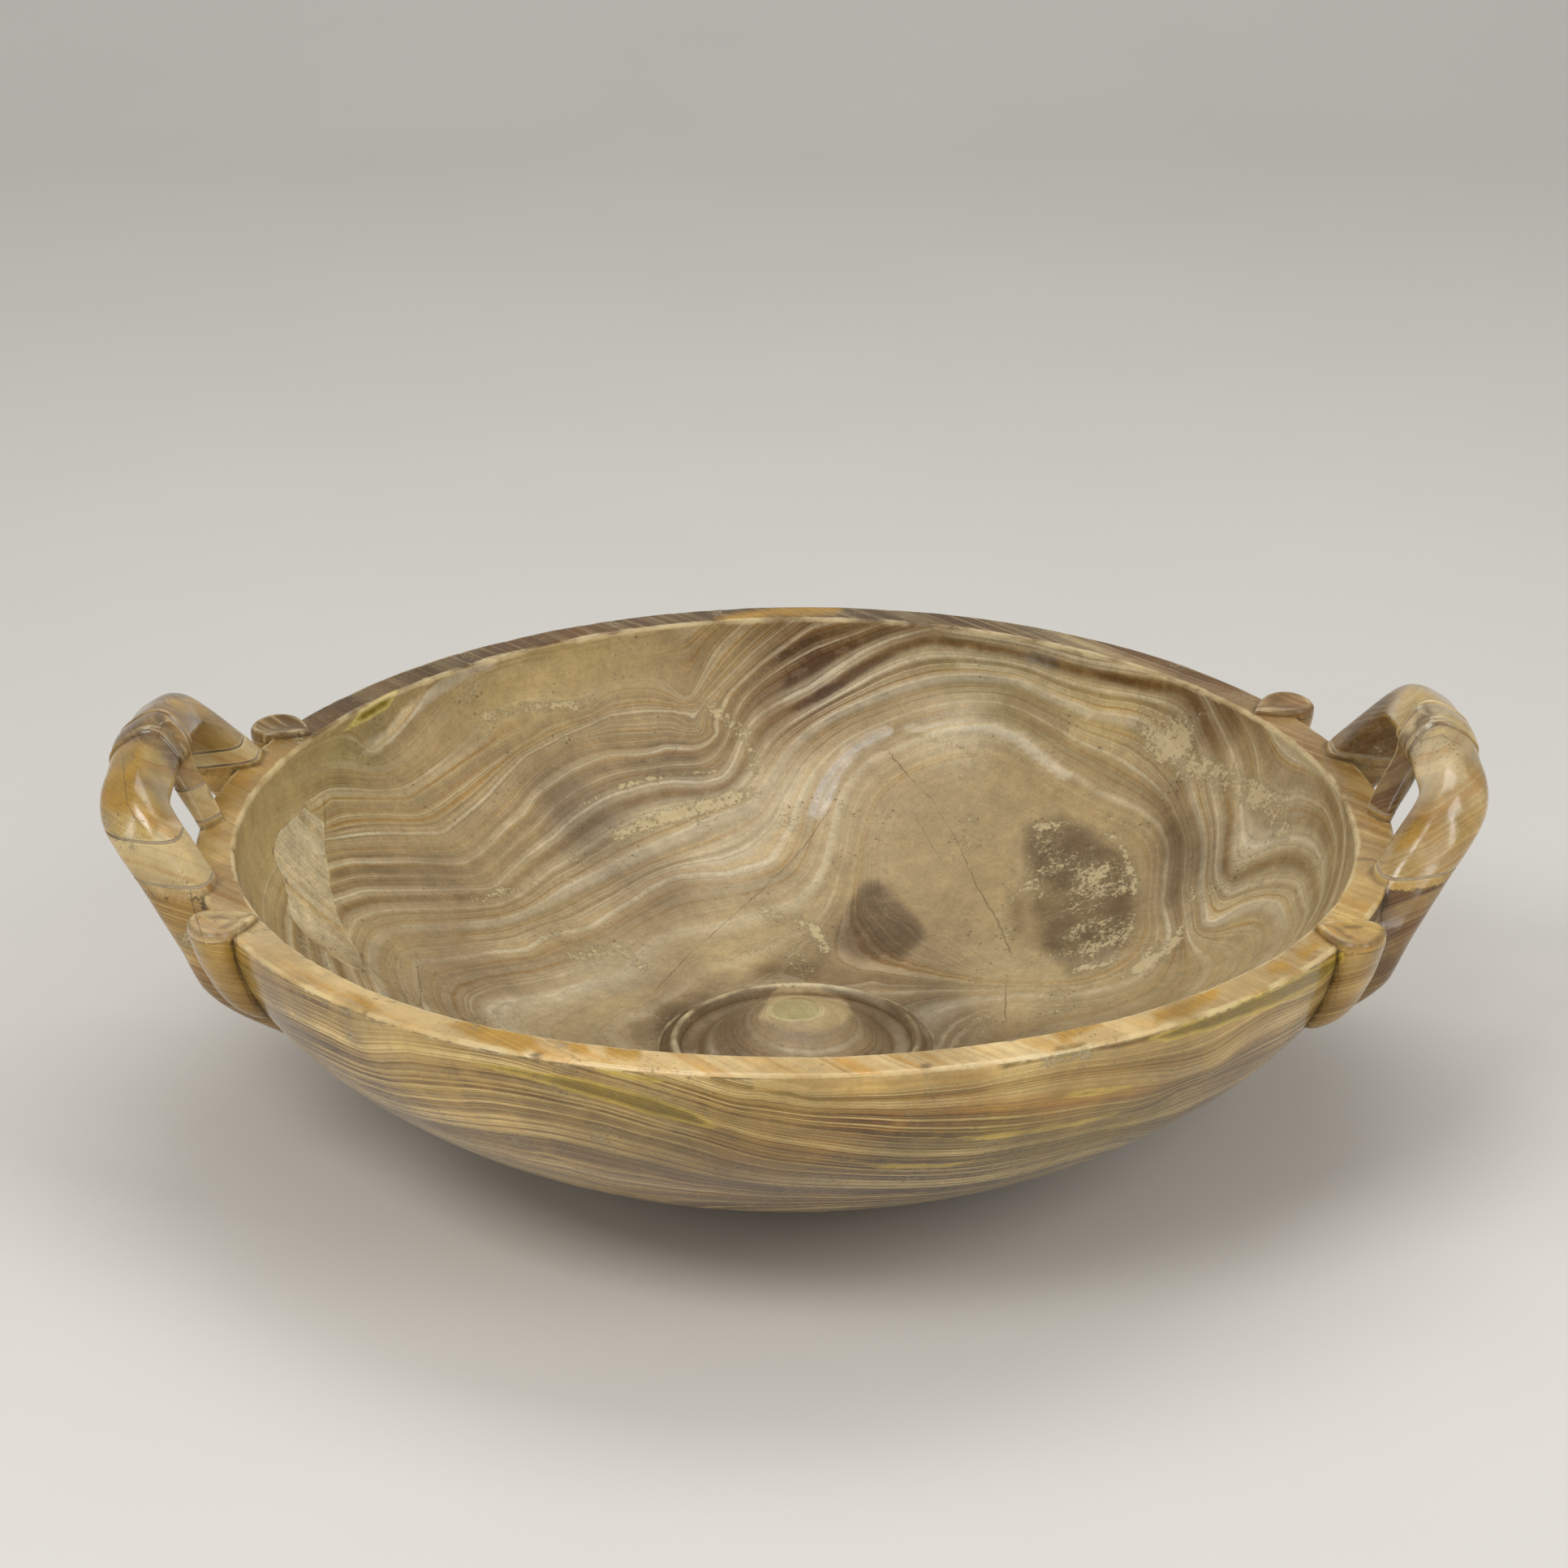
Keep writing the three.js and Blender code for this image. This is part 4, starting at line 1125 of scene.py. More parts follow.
def seen_places(tree, camera, pixels):
    """Where lines of sight through pixels of the photograph meet a surface, or pass near it, in metres."""
    places = []
    for pixel in pixels:
        start, direction = pixel_ray(camera, pixel)
        place = tree.ray_cast(start, direction)[0]
        if place is None:
            place = tree.find_nearest(start - direction * start.dot(direction))[0]
        places.append(place)
    return np.array(places)


def wall_tree(wall, deepest):
    """One wall of the bowl by itself, for lines of sight to meet."""
    profile = wall_point(wall, np.linspace(0, angle_at_height(wall, deepest), 60))
    turn = np.linspace(0, 2 * math.pi, 361)[:-1]
    radius, height = profile.T
    level = np.repeat(height[:, None], len(turn), axis=1)
    points = np.stack([np.outer(radius, np.cos(turn)), np.outer(radius, np.sin(turn)), level], axis=-1)
    points = bend_to_saddle(points.reshape(-1, 3))
    faces = ring_faces(len(radius), 360)
    quads = [face for face in faces if len(face) == 4]
    return BVHTree.FromPolygons(to_metres(points).tolist(), quads)


def bend_to_saddle(points):
    angle = np.arctan2(points[:, 1], points[:, 0])
    return points + np.stack([angle * 0, angle * 0, saddle(points[:, 2], angle)], axis=1)


# Steps along the lines of the layers, in metres, and how far the layers may stray from them
INNER_STEP = 0.009
OUTER_STEP = 0.012
BACK_STEP = 0.03
LAYER_SLACK = 0.0006


class Layers:
    """A value through space that takes given levels along given lines and runs smoothly between them."""

    def __init__(self, lines, slack):
        self.knots = np.vstack([points for _, points in lines])
        levels = np.concatenate([np.full(len(points), level) for level, points in lines])
        count = len(levels)
        system = np.zeros((count + 4, count + 4))
        system[:count, :count] = -self.distances(self.knots) + slack * np.eye(count)
        system[:count, count:] = self.plane(self.knots)
        system[count:, :count] = system[:count, count:].T
        self.weights = np.linalg.solve(system, np.concatenate([levels, np.zeros(4)]))

    def distances(self, points):
        squares = (points**2).sum(axis=1)[:, None] + (self.knots**2).sum(axis=1) - 2 * points @ self.knots.T
        return np.sqrt(np.maximum(squares, 0))

    def plane(self, points):
        return np.hstack([np.ones((len(points), 1)), points])

    def at(self, points):
        count = len(self.knots)
        values = []
        for some in np.array_split(points, max(1, len(points) // 8000)):
            near = -self.distances(some) @ self.weights[:count]
            values.append(near + self.plane(some) @ self.weights[count:])
        return np.concatenate(values)


def layer_lines(table, tree, camera, step):
    """Layer lines of a table as places on a surface, in metres, in even steps."""
    lines = []
    for level, pixels in table:
        places = seen_places(tree, camera, pixels)
        lines.append((level, even_steps(places, step)))
    return lines


def back_lines():
    """Layer lines on the back of the outer wall."""
    lines = []
    for level, spots in BACK_LAYERS:
        places = []
        for height, turn in spots:
            angle = math.radians(turn - 90)
            radius = float(wall_radius(OUTER_WALL, height))
            places.append((radius * math.cos(angle), radius * math.sin(angle), height))
        lines.append((level, even_steps(to_metres(places), BACK_STEP)))
    return lines


def linear(tint):
    """A written colour as light: red, green and blue from 0 to 1."""
    written = [int(TINTS.get(tint, tint)[i:i + 2], 16) / 255 for i in (0, 2, 4)]
    return np.array([((c + 0.055) / 1.055) ** 2.4 if c > 0.04 else c / 12.92 for c in written])


def blend_tints(points, spots, spread):
    """Colour at points, in metres, blended from spots of colour near them."""
    places = np.array([place for place, _ in spots])
    colours = np.array([linear(tint) for _, tint in spots])
    squares = ((points[:, None] - places[None]) ** 2).sum(axis=2)
    weights = (squares + spread**2) ** -2.0
    return weights @ colours / weights.sum(axis=1)[:, None]


def tint_spots(table, tree, camera):
    """A table's spots of colour as places on a surface, in metres, each with its tint."""
    spots = []
    for tint, pixels in table.items():
        spots += [(place, tint) for place in seen_places(tree, camera, pixels)]
    return spots


def distance_inside(points, outline):
    """How far points lie inside an outline, below 0 outside it."""
    outline = np.asarray(outline, float)
    distance = distance_to_path(points, np.vstack([outline, outline[:1]]))[0]
    inside = np.zeros(len(points), bool)
    x, y = points.T
    for start, end in zip(outline, np.roll(outline, -1, axis=0)):
        crosses = (start[1] > y) != (end[1] > y)
        rise = end[1] - start[1] if end[1] != start[1] else 1e-9
        inside ^= crosses & (x < start[0] + (end[0] - start[0]) * (y - start[1]) / rise)
    return np.where(inside, distance, -distance)


def distance_to_path(points, path):
    """Distance of points from a path in a plane, and the side on which they lie, 1 or -1."""
    best = np.full(len(points), 1e9)
    side = np.ones(len(points))
    path = np.asarray(path, float)
    for start, end in zip(path, path[1:]):
        along = end - start
        share = np.clip(((points - start) @ along) / (along @ along), 0, 1)
        away = points - start - share[:, None] * along
        distance = np.hypot(*away.T)
        nearer = distance < best
        best = np.where(nearer, distance, best)
        turn = np.sign(along[0] * away[:, 1] - along[1] * away[:, 0])
        side = np.where(nearer, turn, side)
    return best, side


def shape_mask(pixels, half_width, softness, line):
    """1 within an outline or along a path of the photograph, fading to 0 over the softness."""
    if half_width:
        depth = half_width - distance_to_path(pixels, line)[0]
    else:
        depth = distance_inside(pixels, line)
    return np.clip(depth / softness + 0.5, 0, 1)


def facing(piece, camera):
    """1 where the piece's surface faces the camera, else 0."""
    sight = np.array(camera.matrix_world.translation) - points_of(piece)
    return ((normals_of(piece) * sight).sum(axis=1) > 0).astype(float)


def over_rim(points, camera):
    """1 where the line from a place inside the bowl to the camera clears the front of the rim, else 0."""
    eye = np.array(camera.matrix_world.translation)
    share = (-UNDERSIDE * MM - points[:, 2]) / (eye[2] - points[:, 2])
    crossing = points[:, :2] + share[:, None] * (eye[:2] - points[:, :2])
    return (np.hypot(*crossing.T) < INNER_WALL["radius"] * MM).astype(float)


def paint_patches(colour, pixels, seen, patches):
    for tint, strength, softness, outline in patches:
        amount = (strength * seen * shape_mask(pixels, 0, softness, outline))[:, None]
        colour = colour * (1 - amount) + linear(tint) * amount
    return colour


def write_value(piece, name, values):
    layer = piece.data.attributes.new(name, "FLOAT", "POINT")
    layer.data.foreach_set("value", np.asarray(values, np.float32))


def write_colour(piece, name, colours):
    layer = piece.data.color_attributes.new(name, "FLOAT_COLOR", "POINT")
    full = np.hstack([colours, np.ones((len(colours), 1))]).astype(np.float32)
    layer.data.foreach_set("color", full.ravel())


# Bend from which an edge counts as sharp: for the pale arrises and dark creases, partly wear and dirt and
# partly painted highlight and shade, in radians; for shading in degrees
SHARP_BEND = 0.17
SMOOTH_ANGLE = 38


def sharp_places(piece):
    """Places along a piece's arrises, which stand out, and along its creases, in metres."""
    mesh = bmesh.new()
    mesh.from_mesh(piece.data)
    arrises = []
    creases = []
    for edge in mesh.edges:
        bend = edge.calc_face_angle_signed(0)
        if abs(bend) > SHARP_BEND:
            start, end = [vertex.co for vertex in edge.verts]
            places = [start.lerp(end, share) for share in (0, 0.33, 0.67, 1)]
            (arrises if bend > 0 else creases).extend(places)
    mesh.free()
    return arrises, creases


def nearest_distance(points, places):
    """Distance in millimetres from points to the nearest of some places, at most EDGE_REACH."""
    tree = KDTree(len(places))
    for i, place in enumerate(places):
        tree.insert(place, i)
    tree.balance()
    if not places:
        return np.full(len(points), EDGE_REACH)
    return np.array([min(EDGE_REACH, tree.find(point)[2] / MM) for point in points.tolist()])


def shade_smooth(piece, angle):
    """Smooth shading, apart from edges sharper than the angle."""
    piece.data.polygons.foreach_set("use_smooth", [True] * len(piece.data.polygons))
    piece.data.set_sharp_from_angle(angle=math.radians(angle))


class Shader:
    """A material's nodes, added and linked one by one."""

    def __init__(self, name):
        self.material = bpy.data.materials.new(name)
        self.material.use_nodes = True
        self.tree = self.material.node_tree
        self.tree.nodes.clear()

    def feed(self, socket, value):
        if isinstance(value, bpy.types.NodeSocket):
            self.tree.links.new(value, socket)
        else:
            socket.default_value = value

    def add(self, kind, sockets=None, **settings):
        node = self.tree.nodes.new("ShaderNode" + kind)
        for key, value in settings.items():
            setattr(node, key, value)
        for key, value in (sockets or {}).items():
            self.feed(node.inputs[key], value)
        return node

    def value(self, name):
        return self.add("Attribute", attribute_name=name).outputs["Fac"]

    def math(self, operation, first, second=0.0):
        return self.add("Math", {0: first, 1: second}, operation=operation).outputs[0]

    def plus(self, first, second):
        return self.math("ADD", first, second)

    def minus(self, first, second):
        return self.math("SUBTRACT", first, second)

    def times(self, first, second):
        return self.math("MULTIPLY", first, second)

    def most(self, first, second):
        return self.math("MAXIMUM", first, second)

    def spread(self, value, low, high, start=0.0, end=1.0):
        """A value brought from one range to another and kept within it."""
        return self.add("MapRange", {0: value, 1: low, 2: high, 3: start, 4: end}).outputs[0]

    def swing(self, value, amount):
        """A value from 0 to 1 made to swing round 0 by an amount."""
        return self.times(self.minus(value, 0.5), amount)

    def noise(self, place, scale, detail=2.0, rough=0.5):
        sockets = {"Vector": place, "Scale": scale, "Detail": detail, "Roughness": rough}
        return self.add("TexNoise", sockets).outputs["Fac"]

    def noise_along(self, value, scale, detail, rough):
        sockets = {"Scale": scale, "Detail": detail, "Roughness": rough}
        node = self.add("TexNoise", noise_dimensions="1D")
        self.feed(node.inputs["W"], value)
        for key, setting in sockets.items():
            node.inputs[key].default_value = setting
        return node.outputs["Fac"]

    def mix(self, amount, first, second, blend="MIX"):
        node = self.add("Mix", data_type="RGBA", blend_type=blend)
        for index, value in ((0, amount), (6, first), (7, second)):
            self.feed(node.inputs[index], value)
        return node.outputs[2]

    def lines(self, value, table):
        """A peak at each level of a table: level, half width and strength."""
        low, high = table["span"]
        ramp = self.add("ValToRGB", {0: self.spread(value, low, high)}).color_ramp
        ramp.elements[0].color = (0, 0, 0, 1)
        ramp.elements[1].color = (0, 0, 0, 1)
        for level, half, strength in table["lines"]:
            for shift, height in ((-half, 0), (-half * 0.3, strength), (half * 0.3, strength), (half, 0)):
                mark = ramp.elements.new((level + shift - low) / (high - low))
                mark.color = (height, height, height, 1)
        return self.tree.nodes[-1].outputs["Color"]


# Size of a pixel of the photograph at the bowl, in millimetres
PIXEL = 0.49
# Direction of the layers that cross the lip, with their spacing in metres as a divisor
LIP_GRAIN = np.array([0.55, 0.5, 0.3]) / 0.02
# Values where no crack, patch or edge is near, in millimetres
NO_CRACK = 50.0
NO_PATCH = -20.0
EDGE_REACH = 12.0
# How far a spot of colour reaches on the basin, on its boss and on an arch, in metres
BASIN_TINT_SPREAD = 0.018
BOSS_TINT_SPREAD = 0.02
ARCH_TINT_SPREAD = 0.008


def rgb(tint):
    return (*linear(tint), 1)


INNER_LIGHT = {
    "span": (0.5, 7.3),
    "lines": [
        (1.8, 0.12, 0.9), (2.4, 0.06, 0.6), (3.0, 0.16, 0.8), (3.45, 0.05, 0.6), (4.0, 0.05, 0.85),
        (5.0, 0.05, 0.8), (6.0, 0.05, 0.75),
    ],
}
INNER_DARK = {
    "span": (0.5, 7.3),
    "lines": [
        (2.12, 0.22, 0.4), (3.7, 0.2, 0.55), (4.25, 0.2, 0.5), (4.72, 0.22, 0.55), (5.28, 0.16, 0.45),
        (6.2, 0.05, 0.4), (5.6, 0.03, 0.5),
    ],
}
OUTER_LIGHT = {
    "span": (0, 5.2),
    "lines": [
        (1.0, 0.07, 0.7), (2.1, 0.06, 0.7), (2.75, 0.08, 0.6), (3.3, 0.05, 0.6), (3.8, 0.05, 0.7),
        (4.15, 0.06, 0.7), (4.6, 0.05, 0.5),
    ],
}
OUTER_DARK = {
    "span": (0, 5.2),
    "lines": [
        (1.9, 0.06, 0.6), (2.3, 0.05, 0.4), (3.05, 0.05, 0.5), (3.55, 0.06, 0.5), (4.0, 0.07, 0.7),
        (4.35, 0.1, 0.6), (4.85, 0.1, 0.6),
    ],
}

STONE_LOOKS = {
    "inner_stone": {
        "light": INNER_LIGHT, "dark": INNER_DARK, "wander": 0.16, "ripple": 0.035, "fine": 10, "broad": 1.9,
        "contrast": 3.0, "veins": 0.4, "grain": 0.6, "rough": 0.42, "relief": 0.05, "crust": 1.0,
        "coat": 0.0, "cloud": 0.2, "pale": "ecdfc0", "deep": "ac9d8b", "specular": 0.3, "glaze": "f2f2f0",
        "tinge": "f6e2b8",
    },
    "outer_stone": {
        "light": OUTER_LIGHT, "dark": OUTER_DARK, "wander": 0.22, "ripple": 0.03, "fine": 9, "broad": 1.7,
        "contrast": 4.6, "veins": 0.72, "grain": 0.35, "rough": 0.22, "relief": 0.3, "crust": 0.7,
        "coat": 0.55, "cloud": 0.36, "pale": "fff6da", "deep": "8a7040", "specular": 0.4, "glaze": "ffebb8",
        "tinge": "d2cc78",
    },
    "lip_stone": {
        "wander": 0.5, "ripple": 0.06, "fine": 2.2, "broad": 0.5, "contrast": 2.4, "veins": 0.38,
        "grain": 0.35, "rough": 0.2, "relief": 0.08, "crust": 0.5, "coat": 0.25, "cloud": 0.34,
        "pale": "f2e6c4", "deep": "a48450", "specular": 0.35, "glaze": "fbeed2", "tinge": "f4d898",
    },
    "arch_stone": {
        "wander": 2.2, "ripple": 0.06, "fine": 2.2, "broad": 0.7, "contrast": 1.8, "veins": 0.28,
        "grain": 0.35, "rough": 0.2, "relief": 0.05, "crust": 0.7, "coat": 0.6, "cloud": 0.5,
        "pale": "f2dfb0", "deep": "94703c", "specular": 0.45, "glaze": "faf2dc", "tinge": "ecc684",
    },
    "insert_stone": {
        "wander": 0.7, "ripple": 0.05, "fine": 2.5, "broad": 0.7, "contrast": 2.0, "veins": 0.3,
        "grain": 1.0, "rough": 0.42, "relief": 0.05, "crust": 0.9, "coat": 0.0, "cloud": 0.3,
        "pale": "e6d6ac", "deep": "a08a70", "specular": 0.3, "glaze": "f2f2f0", "tinge": "f6e2b8",
    },
    "splice_stone": {
        "wander": 0.8, "ripple": 0.05, "fine": 2, "broad": 0.6, "contrast": 2.2, "veins": 0.4, "grain": 0.4,
        "rough": 0.28, "relief": 0.03, "crust": 0.5, "coat": 0.15, "cloud": 0.24, "pale": "e6d6ac",
        "deep": "b09a78", "specular": 0.45, "glaze": "f4eed8", "tinge": "f4dcb0",
    },
    "plug_stone": {
        "wander": 0.8, "ripple": 0.1, "fine": 2, "broad": 0.7, "contrast": 0.6, "veins": 0.3, "grain": 0.5,
        "rough": 0.34, "relief": 0.02, "crust": 0.4, "coat": 0.1, "cloud": 0.16, "pale": "e6d6ac",
        "deep": "b8a888", "specular": 0.4, "glaze": "fffdec", "tinge": "f6e8c0",
    },
}


def stone(name):
    """Banded stone whose colours and bands come from values written on the mesh."""
    look = STONE_LOOKS[name]
    shader = Shader(name)
    place = shader.add("TexCoord").outputs["Object"]
    light, dark, tinge = banding(shader, place, look)
    colour = shader.add("Attribute", attribute_name="tint").outputs["Color"]
    colour = shader.mix(tinge, colour, shader.mix(1.0, colour, rgb(look["tinge"]), "MULTIPLY"))
    pale = shader.mix(0.6, colour, rgb(look["pale"]))
    deep = shader.mix(1.0, colour, rgb(look["deep"]), "MULTIPLY")
    colour = shader.mix(dark, shader.mix(light, colour, pale), deep)
    colour = patched(shader, place, colour)
    colour = cloud_and_grain(shader, place, colour, look)
    colour = stained(shader, place, colour)
    colour, crust = crusted(shader, place, colour, look)
    colour, pits = pitted(shader, place, colour)
    colour, hollows = cracked(shader, place, colour)
    # Pale arrises and dark creases: partly wear and dirt, partly painted highlight and shade
    colour, dirt_and_shade = edge_wear_highlight_and_crease_shade(shader, place, colour)
    relief = shader.times(shader.minus(light, dark), look["relief"])
    relief = shader.plus(relief, shader.times(crust, 0.16))
    relief = shader.minus(relief, shader.times(pits, 0.35))
    relief = shader.minus(relief, shader.times(hollows, 0.4))
    dull = shader.times(shader.most(crust, dirt_and_shade), 0.3)
    finish_stone(shader, place, colour, relief, dull, look)
    return shader.material


def banding(shader, place, look):
    """How far the stone is lightened, darkened and tinged by its bands, from 0 to 1."""
    band = drifting_band(shader, place, look)
    fine = shader.noise_along(band, look["fine"], 6, 0.74)
    broad = shader.noise_along(band, look["broad"], 3, 0.6)
    tinge = shader.noise_along(shader.plus(band, 40.0), look["fine"] * 0.5, 4, 0.65)
    edge = 0.22 / look["contrast"]
    veins = look["veins"]
    light = shader.spread(fine, 0.54, 0.54 + edge, 0, veins)
    light = shader.most(light, shader.spread(broad, 0.53, 0.53 + edge, 0, veins * 0.8))
    hair = shader.noise_along(shader.plus(band, 80.0), look["fine"] * 2.6, 3, 0.6)
    light = shader.most(light, shader.spread(hair, 0.56, 0.6, 0, veins * 0.75))
    dark = shader.spread(fine, 0.45, 0.45 - edge, 0, veins * 0.8)
    dark = shader.most(dark, shader.spread(hair, 0.42, 0.38, 0, veins * 0.5))
    dark = shader.most(dark, shader.spread(broad, 0.47, 0.47 - edge, 0, veins * 0.8))
    if "light" in look:
        light = shader.most(light, shader.lines(band, look["light"]))
        dark = shader.most(dark, shader.lines(band, look["dark"]))
    fade = shader.spread(shader.noise(place, 9, 4), 0.35, 0.65, 0.4, 1.25)
    breaks = shader.spread(shader.noise(place, 60, 6, 0.68), 0.36, 0.52, 0.65, 1.1)
    strength = shader.times(shader.value("veining"), shader.times(fade, breaks))
    tinge = shader.times(shader.spread(tinge, 0.5, 0.5 + 2 * edge), strength)
    return shader.times(light, strength), shader.times(dark, strength), tinge


def drifting_band(shader, place, look):
    """The band value, made to wander a little from the drawn lines."""
    slow = shader.swing(shader.noise(place, 9, 3), look["wander"])
    quick = shader.swing(shader.noise(place, 70, 3, 0.6), look["ripple"])
    return shader.plus(shader.value("band"), shader.plus(slow, quick))


def jittered(shader, place, name, scale, amount):
    """A distance written on the mesh, made ragged by noise."""
    return shader.plus(shader.value(name), shader.swing(shader.noise(place, scale, 5, 0.65), amount))


def patched(shader, place, colour):
    """Clear green and golden patches whose edges are crisp."""
    streaks = shader.noise_along(shader.value("band"), 22, 4, 0.6)
    gold = shader.mix(shader.spread(streaks, 0.35, 0.65), rgb("gilt_deep"), rgb("gilt_pale"))
    depth = jittered(shader, place, "green", 70, 3)
    green = shader.mix(shader.spread(depth, 0.9, 3.2), rgb("green_rim"), rgb("green"))
    green = shader.mix(shader.spread(streaks, 0.52, 0.6, 0, 0.6), green, rgb("green_streak"))
    golden = shader.spread(jittered(shader, place, "gold", 60, 4), -2.0, 1.8, 0, 0.9)
    colour = shader.mix(golden, colour, gold)
    return shader.mix(shader.spread(depth, -0.4, 1.4, 0, 0.92), colour, green)


def cloud_and_grain(shader, place, colour, look):
    """Cloudy shifts of brightness, mottling and the sparkle of fine grain."""
    dimmest = 1 - look["cloud"]
    cloud = shader.spread(shader.noise(place, 17, 6, 0.6), 0.3, 0.7, dimmest, 1 + look["cloud"] * 0.6)
    swing = 0.27 * look["grain"]
    mottle = shader.spread(shader.noise(place, 85, 9, 0.78), 0.34, 0.66, 1 - swing, 1 + swing)
    grain = shader.spread(shader.noise(place, 420, 6, 0.9), 0.34, 0.66, 1 - swing, 1 + swing)
    level = shader.times(shader.times(cloud, mottle), grain)
    grey = shader.add("CombineColor", {0: level, 1: level, 2: level}).outputs[0]
    colour = shader.mix(1.0, colour, rgb(look["glaze"]), "MULTIPLY")
    return shader.mix(1.0, colour, grey, "MULTIPLY")


def stained(shader, place, colour):
    cloud = shader.swing(shader.noise(place, 26, 9, 0.68), 1.3)
    amount = shader.plus(shader.times(shader.value("stain"), 0.85), cloud)
    dark = shader.mix(1.0, colour, rgb("stain"), "MULTIPLY")
    return shader.mix(shader.spread(amount, 0.2, 1.05, 0, 0.9), colour, dark)


def crusted(shader, place, colour, look):
    """Crumbly beige crust, thick where it is written on the mesh and rare elsewhere."""
    crumbs = shader.noise(place, 330, 8, 0.86)
    ground = shader.minus(shader.noise(place, 30, 4, 0.6), 0.5)
    thick = shader.times(shader.minus(shader.value("crust"), 0.5), 0.2)
    patches = shader.spread(shader.noise(place, 8, 3), 0.45, 0.7, 0, 0.05 * look["crust"])
    amount = shader.plus(shader.plus(crumbs, thick), patches)
    amount = shader.plus(amount, shader.times(ground, 0.8))
    haze = shader.spread(amount, 0.48, 0.62, 0, 0.3)
    crust = shader.spread(amount, 0.57, 0.62)
    colour = shader.mix(haze, colour, rgb("haze"))
    return shader.mix(shader.times(crust, 0.7), colour, rgb("crust")), crust


def pitted(shader, place, colour):
    cells = shader.add("TexVoronoi", {"Vector": place, "Scale": 170.0})
    chosen = shader.spread(shader.noise(place, 30, 3), 0.5, 0.62)
    pits = shader.times(shader.spread(cells.outputs["Distance"], 0.2, 0.08), chosen)
    return shader.mix(shader.times(pits, 0.6), colour, rgb("pit")), pits


def cracked(shader, place, colour):
    """Thin, broken dark lines where the written distance is near 0."""
    away = shader.math("ABSOLUTE", jittered(shader, place, "crack", 160, 3.5))
    width = shader.spread(shader.noise(place, 26, 4), 0.42, 0.66, 0.06, 0.7)
    hollows = shader.spread(shader.math("DIVIDE", away, width), 1.0, 0.4)
    return shader.mix(shader.times(hollows, 0.4), colour, rgb("crack")), hollows


def edge_wear_highlight_and_crease_shade(shader, place, colour):
    """Pale arrises, partly rubbed wear and partly a painted highlight, and dark creases, partly dirt and
    partly painted shade.
    """
    # Pale along the arrises: partly edge wear, partly a painted highlight
    arris = shader.spread(jittered(shader, place, "arris", 120, 3), 1.5, 0.1)
    rubbed = shader.times(arris, shader.spread(shader.noise(place, 35, 3), 0.38, 0.62, 0.0, 0.6))
    colour = shader.mix(rubbed, colour, rgb("rubbed"))
    # Dark in the creases: partly dirt, partly painted shade, deepest where the crease is
    crease = shader.spread(jittered(shader, place, "crease", 90, 5), 3.4, 0.2)
    dirt_and_shade = shader.times(crease, shader.spread(shader.noise(place, 60, 4), 0.3, 0.6, 0.3, 0.75))
    return shader.mix(dirt_and_shade, colour, rgb("dirt_and_shade")), dirt_and_shade


def finish_stone(shader, place, colour, relief, dull, look):
    """Gloss, relief and a little light within the stone."""
    rough = look["rough"]
    uneven = shader.spread(shader.noise(place, 24, 5, 0.6), 0.35, 0.7, rough - 0.07, rough + 0.15)
    height = shader.plus(relief, shader.times(shader.noise(place, 420, 5, 0.6), 0.05))
    height = shader.plus(height, shader.times(shader.noise(place, 45, 4), 0.35))
    bump = shader.add("Bump", {"Height": height, "Distance": MM, "Strength": 1.0})
    surface = shader.add("BsdfPrincipled", {
        "Base Color": colour, "Roughness": shader.plus(uneven, dull), "Normal": bump.outputs[0],
        "Specular IOR Level": look["specular"], "Coat Weight": look["coat"], "Coat Roughness": 0.14,
        "Subsurface Weight": 0.12, "Subsurface Radius": (1.0, 0.65, 0.35), "Subsurface Scale": 0.005,
    })
    shader.add("OutputMaterial", {"Surface": surface.outputs[0]})


def mortar():
    """Matt, sandy fill of the joints."""
    shader = Shader("mortar")
    place = shader.add("TexCoord").outputs["Object"]
    sand = shader.noise(place, 380, 6, 0.7)
    dirt_and_shade = shader.noise(place, 40, 3)
    colour = shader.mix(sand, rgb("mortar_deep"), rgb("mortar_pale"))
    colour = shader.mix(shader.spread(dirt_and_shade, 0.5, 0.7), colour, rgb("mortar_dirt"))
    bump = shader.add("Bump", {"Height": sand, "Distance": 0.3 * MM, "Strength": 1.0})
    sockets = {"Base Color": colour, "Roughness": 0.9, "Normal": bump.outputs[0]}
    shader.add("OutputMaterial", {"Surface": shader.add("BsdfPrincipled", sockets).outputs[0]})
    return shader.material


def steel():
    """Plain bar, drawn along its length."""
    shader = Shader("steel")
    place = shader.add("TexCoord").outputs["Object"]
    drawn = shader.add("Mapping", {"Vector": place, "Scale": (1, 1, 0.05)}).outputs[0]
    lines = shader.noise(drawn, 1500, 3)
    colour = shader.mix(lines, rgb("steel_deep"), rgb("steel_pale"))
    bump = shader.add("Bump", {"Height": lines, "Distance": 0.02 * MM, "Strength": 1.0})
    surface = shader.add("BsdfPrincipled", {
        "Base Color": colour, "Metallic": 1.0, "Roughness": shader.spread(lines, 0.3, 0.7, 0.25, 0.4),
        "Normal": bump.outputs[0],
    })
    shader.add("OutputMaterial", {"Surface": surface.outputs[0]})
    return shader.material


